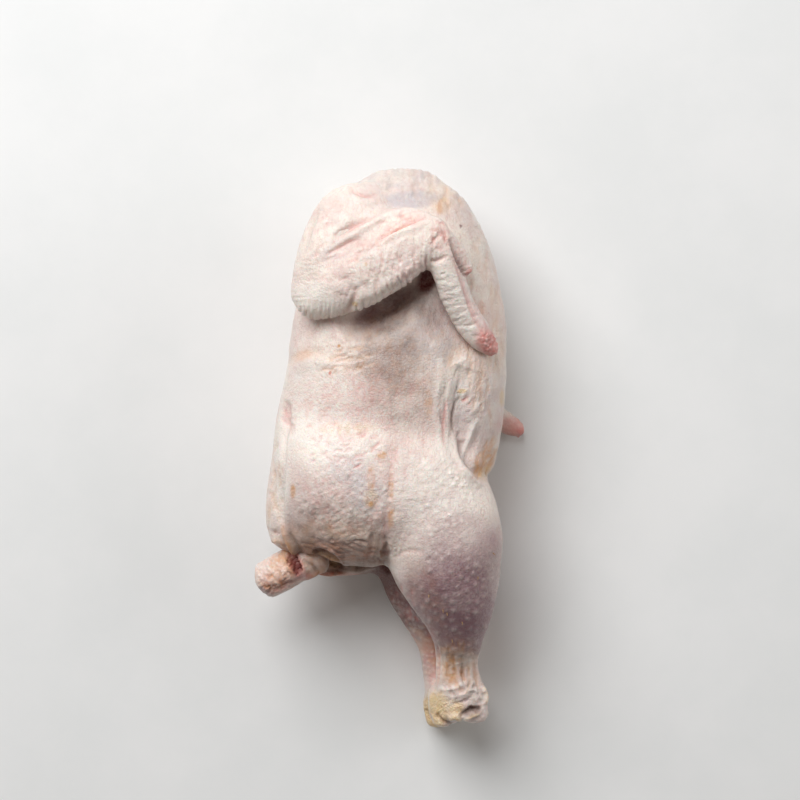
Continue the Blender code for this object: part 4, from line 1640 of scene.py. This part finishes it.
@dataclass
class NearWing(SkinPiece):
    """The upper wing, folded over the breast."""

    name: str = "near_wing"
    voxel: float = 1.6
    relaxing: int = 9
    thin_rounds: int = 3
    wrist: Spot = (22.0, 88.0)
    forms: tuple[Form, ...] = (
        Form("near_upper_arm", NEAR_UPPER_ARM, 6.0, 12.0),
        Form(
            "near_forearm",
            (
                (-50.5, 59.5, 97.0, 13.0, 13.0),
                (-36.0, 66.0, 105.0, 17.0, 14.0),
                (-18.0, 76.0, 111.5, 17.5, 13.0),
                (0.0, 85.5, 115.0, 16.5, 12.0),
                (14.0, 92.5, 116.0, 15.0, 11.0),
                (24.0, 95.0, 115.0, 12.0, 9.5),
            ),
            12.0,
            6.0,
        ),
        Form(
            "near_web",
            (
                (-34.0, 92.0, 97.0, 14.0, 15.0),
                (-16.0, 97.0, 101.0, 15.0, 15.5),
                (4.0, 101.0, 105.0, 12.5, 14.0),
                (20.0, 99.0, 108.0, 9.0, 12.0),
            ),
            3.0,
            3.0,
        ),
        Form(
            "near_hand",
            (
                (21.5, 92.0, 115.0, 11.0, 9.5),
                (25.6, 80.2, 113.0, 9.8, 10.0),
                (29.1, 69.8, 110.5, 9.0, 9.5),
                (33.8, 58.3, 106.5, 8.8, 8.5),
                (40.1, 46.9, 103.0, 8.8, 7.5),
                (47.7, 37.1, 99.0, 8.0, 6.5),
                (55.3, 29.0, 94.5, 4.6, 4.8),
            ),
            5.0,
            2.5,
        ),
        Form(
            "near_thumb",
            (
                (26.0, 93.0, 112.0, 7.0, 6.5),
                (33.5, 85.0, 109.0, 6.0, 5.5),
                (39.5, 75.5, 105.5, 4.2, 4.2),
            ),
            3.0,
            2.0,
        ),
    )
    folds: tuple[Fold, ...] = (
        # The notch of the shoulder
        Fold(((350, 190), (357, 193), (366, 196), (378, 195)), 2.0, 1.4, Tint.BLUSH, 0.45),
        Fold(((350, 198), (362, 202), (376, 203)), 3.0, -1.0, Tint.FAT_AND_HIGHLIGHT, 0.4),
        # Crease between the upper arm and the skin web, and the ridges beside it, whitened partly as painted
        # highlight
        Fold(((334, 237), (346, 230), (358, 223), (368, 218), (376, 214)), 2.8, 2.8, Tint.BLUSH, 0.4),
        Fold(
            ((336, 246), (350, 237), (364, 228), (378, 220), (394, 213), (412, 211), (432, 213)),
            3.2,
            -1.5,
            Tint.FAT_AND_HIGHLIGHT,
            0.5,
        ),
        Fold(((338, 226), (352, 216), (368, 207), (382, 202)), 6.0, -1.0),
        # Orange-red crease under the web
        Fold(
            ((376, 239), (386, 234), (396, 229), (406, 224), (416, 219), (423, 216)),
            2.2,
            2.6,
            Tint.BLUSH,
            0.75,
        ),
        Fold(((384, 236), (398, 229), (410, 223)), 1.6, 0.6, Tint.STAIN, 0.6),
        Fold(((368, 246), (384, 240), (402, 232), (420, 225), (432, 219)), 3.2, -1.2, Tint.FAT_AND_HIGHLIGHT, 0.3),
        Fold(((326, 255), (337, 249), (349, 242), (362, 238)), 1.9, 1.5, Tint.BLUSH, 0.4),
        Fold(((322, 262), (338, 256), (356, 248)), 2.0, 0.8, Tint.BLUSH, 0.2),
        Fold(((342, 262), (360, 253), (378, 247)), 2.0, 0.7),
        # The fold along the forearm over its lower edge
        Fold(((350, 303), (370, 294), (392, 281), (412, 268), (424, 260)), 7.0, -2.4),
        Fold(((346, 313), (364, 306), (384, 295), (404, 282), (424, 269)), 3.0, -2.2),
        Fold(((344, 318), (350, 309), (354, 298), (356, 286)), 3.0, 1.8, Tint.BLUSH, 0.2),
        # Painted shade in the crease along the shoulder's left edge
        Fold(((322, 206), (313, 220), (307, 238), (304, 256)), 3.0, 1.8, Tint.PAINTED_SHADE, 0.16),
        Fold(((330, 276), (344, 282), (352, 294)), 5.0, 0.9),
        # The wrist, the hand's two halves and the thumb's crease, the crease dark red with painted shade
        Fold(((440, 222), (446, 236), (449, 248)), 2.2, 1.4, Tint.BLUSH, 0.4),
        Fold(((450, 238), (456, 254), (463, 270), (470, 282)), 2.0, 2.8, Tint.FLESH_AND_SHADOW, 0.6),
        Fold(((452, 256), (460, 276), (467, 298), (474, 318), (482, 334)), 1.9, 1.5, Tint.BLUSH, 0.45),
        Fold(((429, 262), (437, 261), (446, 256)), 2.0, 1.6, Tint.BLUSH, 0.3),
        Fold(((430, 246), (436, 238), (444, 232)), 2.0, 1.0, Tint.BLUSH, 0.4),
    )
    wrinkles: tuple[Wrinkles, ...] = (
        Wrinkles(Patch((318, 238), (20, 28), 20), -60, 12, 22, 1.5, 0.24, 31, Tint.BLUSH, 0.16, 20),
        Wrinkles(Patch((354, 256), (34, 12), -28), -30, 13, 24, 1.5, 0.28, 32, Tint.BLUSH, 0.18, 18),
        Wrinkles(Patch((442, 236), (13, 16)), 60, 9, 30, 1.3, 0.36, 33, Tint.BLUSH, 0.32, 30),
        Wrinkles(Patch((342, 286), (24, 14)), -20, 10, 18, 1.6, 0.26, 34, Tint.BLUSH, 0.12, 40),
        Wrinkles(Patch((402, 221), (28, 8), -18), -24, 9, 26, 1.3, 0.30, 35, Tint.BLUSH, 0.26, 16),
        Wrinkles(Patch((396, 266), (42, 16), -28), 84, 13, 70, 1.2, 0.40, 36, Tint.BLUSH, 0.14, 9),
        Wrinkles(Patch((458, 306), (12, 36), -28), -10, 10, 36, 1.3, 0.40, 38, None, 0.0, 20),
    )
    ribs: tuple[Ribs, ...] = (
        Ribs(Patch((406, 262), (38, 20), -28), 6, 5.0, 0.75, 51, 0.4, 0.5),
        Ribs(Patch((366, 290), (28, 16), -28), 14, 7.0, 0.65, 52, 0.6, 0.7),
        Ribs(Patch((390, 292), (46, 9), -32), -8, 7.4, 2.0, 57, 1.3, 1.0),
        Ribs(Patch((316, 316), (28, 8)), 0, 8.0, 1.2, 58, 0.7, 0.6),
        Ribs(Patch((318, 312), (26, 14)), 4, 4.6, 0.60, 53, 0.7, 0.7),
        Ribs(Patch((304, 282), (14, 26)), 84, 4.6, 0.40, 54, 0.7, 0.8),
        Ribs(Patch((450, 306), (12, 36), -28), 74, 8.8, 0.5, 55, 0.5, 0.6),
        Ribs(Patch((462, 262), (7, 18), -28), 70, 4.2, 0.5, 56),
    )
    follicles: tuple[Follicles, ...] = (
        Follicles(Patch((344, 214), (34, 24), -30), 7.5, 1.8, 0.35, 75, 16, Tint.DOTS, 0.3),
        Follicles(Patch((398, 264), (40, 12), -28), 5.6, 1.7, 0.45, 71, -28, Tint.DOTS, 0.5),
        Follicles(Patch((490, 343), (13, 10), 50), 3.6, 1.5, 1.2, 72, 40, Tint.DOTS, 0.3),
        Follicles(Patch((400, 228), (28, 5), -20), 4.0, 1.4, 0.5, 73, -20, Tint.DOTS, 0.4),
        Follicles(Patch((440, 240), (12, 14)), 4.0, 1.4, 0.45, 74, 10, Tint.DOTS, 0.4),
    )
    marks: tuple[Mark, ...] = (
        Mark(Patch((350, 210), (34, 18), -30), Tint.FAT_AND_HIGHLIGHT, 0.45, 0.5, 6.0),
        Mark(Patch((334, 226), (30, 26), -30), Tint.BLUSH, 0.10, 0.8, 5.0),
        Mark(Patch((390, 264), (50, 16), -28), Tint.FAT_AND_HIGHLIGHT, 0.40, 0.6, 5.0),
        # The hand whitened fully: whiter skin, and painted light where it lies in the forearm's shade
        Mark(Patch((458, 306), (18, 42), -28), Tint.FAT_AND_HIGHLIGHT, 1.0, 0.3, 5.0),
        Mark(Patch((474, 306), (5, 34), -26), Tint.GLASSY_AND_SHADE, 0.25, 0.3, 6.0),
        Mark(Patch((478, 318), (5, 22), -26), Tint.BLUSH, 0.35, 0.5, 6.0),
        Mark(Patch((491, 345), (18, 12), 50), Tint.BLUSH, 1.0, 0.2, 2.6),
        Mark(Patch((470, 274), (4, 6)), Tint.BLUSH, 0.85, 0.3, 3.0),
        Mark(Patch((460, 256), (8, 18), -20), Tint.BLUSH, 0.35, 0.7, 3.0),
        Mark(Patch((355, 304), (3.0, 2.4)), Tint.HORN, 0.9, 0.2),
        Mark(Patch((366, 264), (1.6, 2.2)), Tint.STAIN, 0.8, 0.2),
        # The elbow whitened fully: whiter skin, and painted light on its shaded lower side
        Mark(Patch((312, 308), (28, 24)), Tint.FAT_AND_HIGHLIGHT, 1.0, 0.3, 4.0),
        Mark(Patch((306, 314), (20, 8)), Tint.STAIN, 0.18, 0.8, 4.0),
        Mark(Patch((380, 250), (60, 30), -28), Tint.BLUSH, 0.14, 1.0, 3.0),
        Mark(Patch((438, 238), (14, 14)), Tint.BLUSH, 0.20, 0.8, 3.0),
        Mark(Patch((338, 250), (20, 10), -30), Tint.GLASSY_AND_SHADE, 0.3, 0.5, 6.0),
    )
    swells: tuple[tuple[float, float], ...] = ((14.0, 0.5), (5.0, 0.25))

    def is_thin(self, place: Vector) -> bool:
        """Says whether a point is in the hand or the thumb."""
        return place.x > self.wrist[0] and place.y < self.wrist[1]


@dataclass
class TailPiece(SkinPiece):
    """The tail, with red meat where the cut skin leaves it bare."""

    name: str = "tail"
    voxel: float = 1.3
    relaxing: int = 6
    forms: tuple[Form, ...] = (
        Form(
            "tail_form",
            (
                (-47.7, -95.5, 57.0, 9.8, 14.0),
                (-61.8, -100.0, 57.0, 11.2, 15.0),
                (-72.8, -105.4, 56.0, 12.2, 15.0),
                (-82.0, -110.6, 55.0, 11.6, 13.0),
            ),
            4.0,
            6.0,
        ),
    )
    folds: tuple[Fold, ...] = (
        Fold(((262, 594), (276, 590), (292, 583), (308, 574)), 1.9, 1.4, Tint.BRUISE_AND_SHADE, 0.5),
        Fold(((288, 553), (293, 560), (297, 568), (299, 576)), 3.4, 2.6, Tint.FLESH_AND_SHADOW, 0.9),
        Fold(((282, 556), (288, 566), (292, 576)), 2.0, -1.0, Tint.STAIN, 0.5),
        # Painted shade in the crease beside the tail
        Fold(((302, 560), (312, 566), (322, 576)), 2.4, 1.6, Tint.PAINTED_SHADE, 0.5),
        Fold(((306, 580), (316, 574), (330, 571)), 2.0, -1.2, Tint.STAIN, 0.5),
        Fold(((300, 560), (304, 570), (306, 578)), 1.8, -1.0, Tint.BLUSH, 0.5),
        Fold(((276, 549), (284, 551), (291, 556)), 1.8, -1.0, Tint.STAIN, 0.6),
    )
    wrinkles: tuple[Wrinkles, ...] = (
        Wrinkles(Patch((272, 574), (16, 18), -30), 50, 8, 50, 1.2, 0.40, 81, Tint.STAIN, 0.3, 30),
        Wrinkles(Patch((294, 564), (8, 12)), 60, 6, 26, 1.0, 0.8, 82, Tint.FLESH_AND_SHADOW, 0.6, 40),
        Wrinkles(Patch((272, 588), (18, 6), -20), -20, 9, 30, 1.1, 0.5, 84, Tint.BRUISE_AND_SHADE, 0.4, 16),
    )
    ribs: tuple[Ribs, ...] = (Ribs(Patch((272, 576), (20, 18), -30), -30, 4.6, 0.35, 83, 0.6, 0.8),)
    follicles: tuple[Follicles, ...] = (
        Follicles(Patch((270, 572), (18, 20), -30), 4.6, 1.5, 0.5, 85, 20, Tint.DOTS, 0.4),
    )
    marks: tuple[Mark, ...] = (
        Mark(Patch((295, 564), (7, 13), -20), Tint.BLUSH, 1.0, 0.2, 3.0),
        Mark(Patch((295, 564), (5, 12), -20), Tint.FLESH_AND_SHADOW, 0.75, 0.5, 3.0),
        Mark(Patch((284, 556), (12, 8)), Tint.STAIN, 0.75, 0.5, 4.0),
        Mark(Patch((266, 566), (10, 10)), Tint.FAT_AND_HIGHLIGHT, 0.3, 0.4, 5.0),
        Mark(Patch((276, 572), (24, 22), -20), Tint.STAIN, 0.18, 0.5, 6.0),
        Mark(Patch((276, 572), (24, 22), -20), Tint.BLUSH, 0.16, 0.6, 3.0),
        Mark(Patch((280, 580), (20, 12), -20), Tint.BLUSH, 0.45, 0.5, 4.0),
        Mark(Patch((282, 574), (14, 12), -20), Tint.STAIN, 0.35, 0.5, 4.0),
        # Painted shade along the tail's lower edge and beside it
        Mark(Patch((268, 590), (16, 6), -20), Tint.PAINTED_SHADE, 0.5, 0.5, 4.0),
        Mark(Patch((316, 566), (15, 16)), Tint.PAINTED_SHADE, 0.30, 0.4, 4.0),
        Mark(Patch((316, 562), (16, 14)), Tint.STAIN, 0.45, 0.5, 4.0),
        Mark(Patch((314, 577), (16, 5)), Tint.BLUSH, 0.7, 0.5, 4.0),
    )
    regions: tuple[Region, ...] = (
        Region((-72.0, -106.0, 44.0), (24.0, 18.0, 9.0), Tint.BLUSH, 0.4, 0.3, 5.0),
    )
    swells: tuple[tuple[float, float], ...] = ((9.0, 0.35), (3.5, 0.2))


@dataclass(frozen=True)
class Quills:
    """Short broken feather stubs that are left in the drumstick."""

    spots: tuple[Spot, ...] = (
        (429, 595),
        (443, 610),
        (447, 613),
        (493, 553),
        (462, 622),
        (452, 640),
        (478, 577),
    )
    length: float = 2.2
    thickness: float = 0.35
    taper: float = 0.45
    rooting: float = 0.3
    sides: int = 8
    seed: int = 5
    pale: Colour = srgb(196, 158, 104)
    dark: Colour = srgb(120, 82, 50)
    roughness: float = 0.45

    def build(self, skin: bpy.types.Object) -> bpy.types.Object:
        """Makes the stubs, rooted in the skin.

        Args:
            skin: The skin that they stand in.

        Returns:
            The stubs as one object.
        """
        shape = bmesh.new()
        shape.from_mesh(skin.data)
        tree = BVHTree.FromBMesh(shape)
        shape.free()
        stubs = bmesh.new()
        dice = random.Random(self.seed)
        for u, v in self.spots:
            root, normal = self.rooted(tree, u, v)
            lean = (normal + Vector((dice.uniform(-0.6, 0.6), -0.9, 0.1))).normalized()
            turn = lean.to_track_quat("Z", "Y").to_matrix().to_4x4()
            place = Matrix.Translation(root + lean * (self.length * self.rooting * MM)) @ turn
            bmesh.ops.create_cone(
                stubs,
                cap_ends=True,
                segments=self.sides,
                radius1=self.thickness * MM,
                radius2=self.thickness * self.taper * MM,
                depth=self.length * MM,
                matrix=place,
            )
        made = Mesher.as_object("quill_stubs", stubs, bpy.context.scene.collection)
        paint = Paint("quill")
        tone = paint.mix(paint.noise(1.2), self.pale, self.dark)
        made.data.materials.append(paint.dress(Base_Color=tone, Roughness=self.roughness))
        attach(made, "root")
        log.info("%s: %d stubs", made.name, len(self.spots))
        return made

    def rooted(self, tree: BVHTree, u: float, v: float) -> tuple[Vector, Vector]:
        """Finds where a line of sight from above meets the skin.

        Args:
            tree: The skin.
            u: The place across, in picture units.
            v: The place down, in picture units.

        Returns:
            The point and the skin's normal there.
        """
        eye = (Vector((0.0, 0.0, Overhead.height)) - Vector(CENTRE)) * MM
        way = Vector(((u - Overhead.middle) * Overhead.unit, (Overhead.middle - v) * Overhead.unit, -1.0))
        point, normal, _, _ = tree.ray_cast(eye, way.normalized())
        return point, normal


@dataclass(frozen=True)
class Studio:
    """A pale counter under a large soft light and a faint one, seen from straight above."""

    floor_size: float = 3.0
    floor_light: Colour = srgb(238, 237, 236)
    floor_dark: Colour = srgb(232, 232, 231)
    cloud_size: float = 120.0
    key_power: float = 50.0
    key_size: float = 1.5
    key_way: Way = (-0.44, 0.78, 1.0)
    side_power: float = 10.0
    side_size: float = 1.2
    side_way: Way = (0.95, 0.30, 0.50)
    distance: float = 2.2
    daylight: Colour = (0.97, 0.99, 1.0)
    room: Colour = (1.0, 0.94, 0.89)
    fill: float = 0.18
    sensor: float = 36.0

    def build(self) -> None:
        """Makes the counter, the lights and the camera."""
        scene = bpy.context.scene
        scene.view_settings.view_transform = "Standard"
        self.floor()
        self.lamp("window", self.key_power, self.key_size, self.key_way)
        self.lamp("wall", self.side_power, self.side_size, self.side_way)
        self.sky()
        self.camera()

    def floor(self) -> None:
        """Makes the counter."""
        shape = bmesh.new()
        bmesh.ops.create_grid(shape, x_segments=2, y_segments=2, size=self.floor_size / 2)
        made = Mesher.as_object("counter", shape, bpy.context.scene.collection)
        paint = Paint("pale_counter")
        cloud = paint.noise(self.cloud_size, 5.0, 0.6)
        tone = paint.mix(cloud.ramp(0.3, 0.7), self.floor_dark, self.floor_light)
        made.data.materials.append(paint.dress(Base_Color=tone, Roughness=0.55 + (cloud - 0.5) * 0.1))

    def lamp(self, name: str, power: float, size: float, toward: Way) -> None:
        """Makes a square soft light.

        Args:
            name: Its name.
            power: Its power.
            size: Its side.
            toward: The way from the bird to it.
        """
        lamp = bpy.data.lights.new(name, "AREA")
        lamp.energy = power
        lamp.color = self.daylight
        lamp.size = size
        made = bpy.data.objects.new(name, lamp)
        bpy.context.scene.collection.objects.link(made)
        way = Vector(toward).normalized()
        made.location = way * self.distance
        made.rotation_mode = "QUATERNION"
        made.rotation_quaternion = way.to_track_quat("Z", "Y")

    def sky(self) -> None:
        """Makes the even light of the room."""
        world = bpy.data.worlds.new("room")
        world.use_nodes = True
        ground = world.node_tree.nodes["Background"]
        ground.inputs["Color"].default_value = (*self.room, 1.0)
        ground.inputs["Strength"].default_value = self.fill
        bpy.context.scene.world = world

    def camera(self) -> None:
        """Makes the camera, straight above the middle of the picture."""
        lens = bpy.data.cameras.new("overhead")
        lens.sensor_width = self.sensor
        lens.lens = 0.5 * self.sensor / (Overhead.middle * Overhead.unit)
        made = bpy.data.objects.new("overhead", lens)
        bpy.context.scene.collection.objects.link(made)
        made.location = (Vector((0.0, 0.0, Overhead.height)) - Vector(CENTRE)) * MM
        bpy.context.scene.camera = made


def main() -> None:
    """Builds the bird and its studio, piece by piece."""
    logging.basicConfig(level=logging.INFO, format="%(message)s")
    skin = RawSkin().material("skin")
    body = BodySkin().build(skin)
    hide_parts(NODE)
    NearWing().build(skin)
    TailPiece().build(skin)
    Quills().build(body)
    Studio().build()


if __name__ == "__main__":
    main()
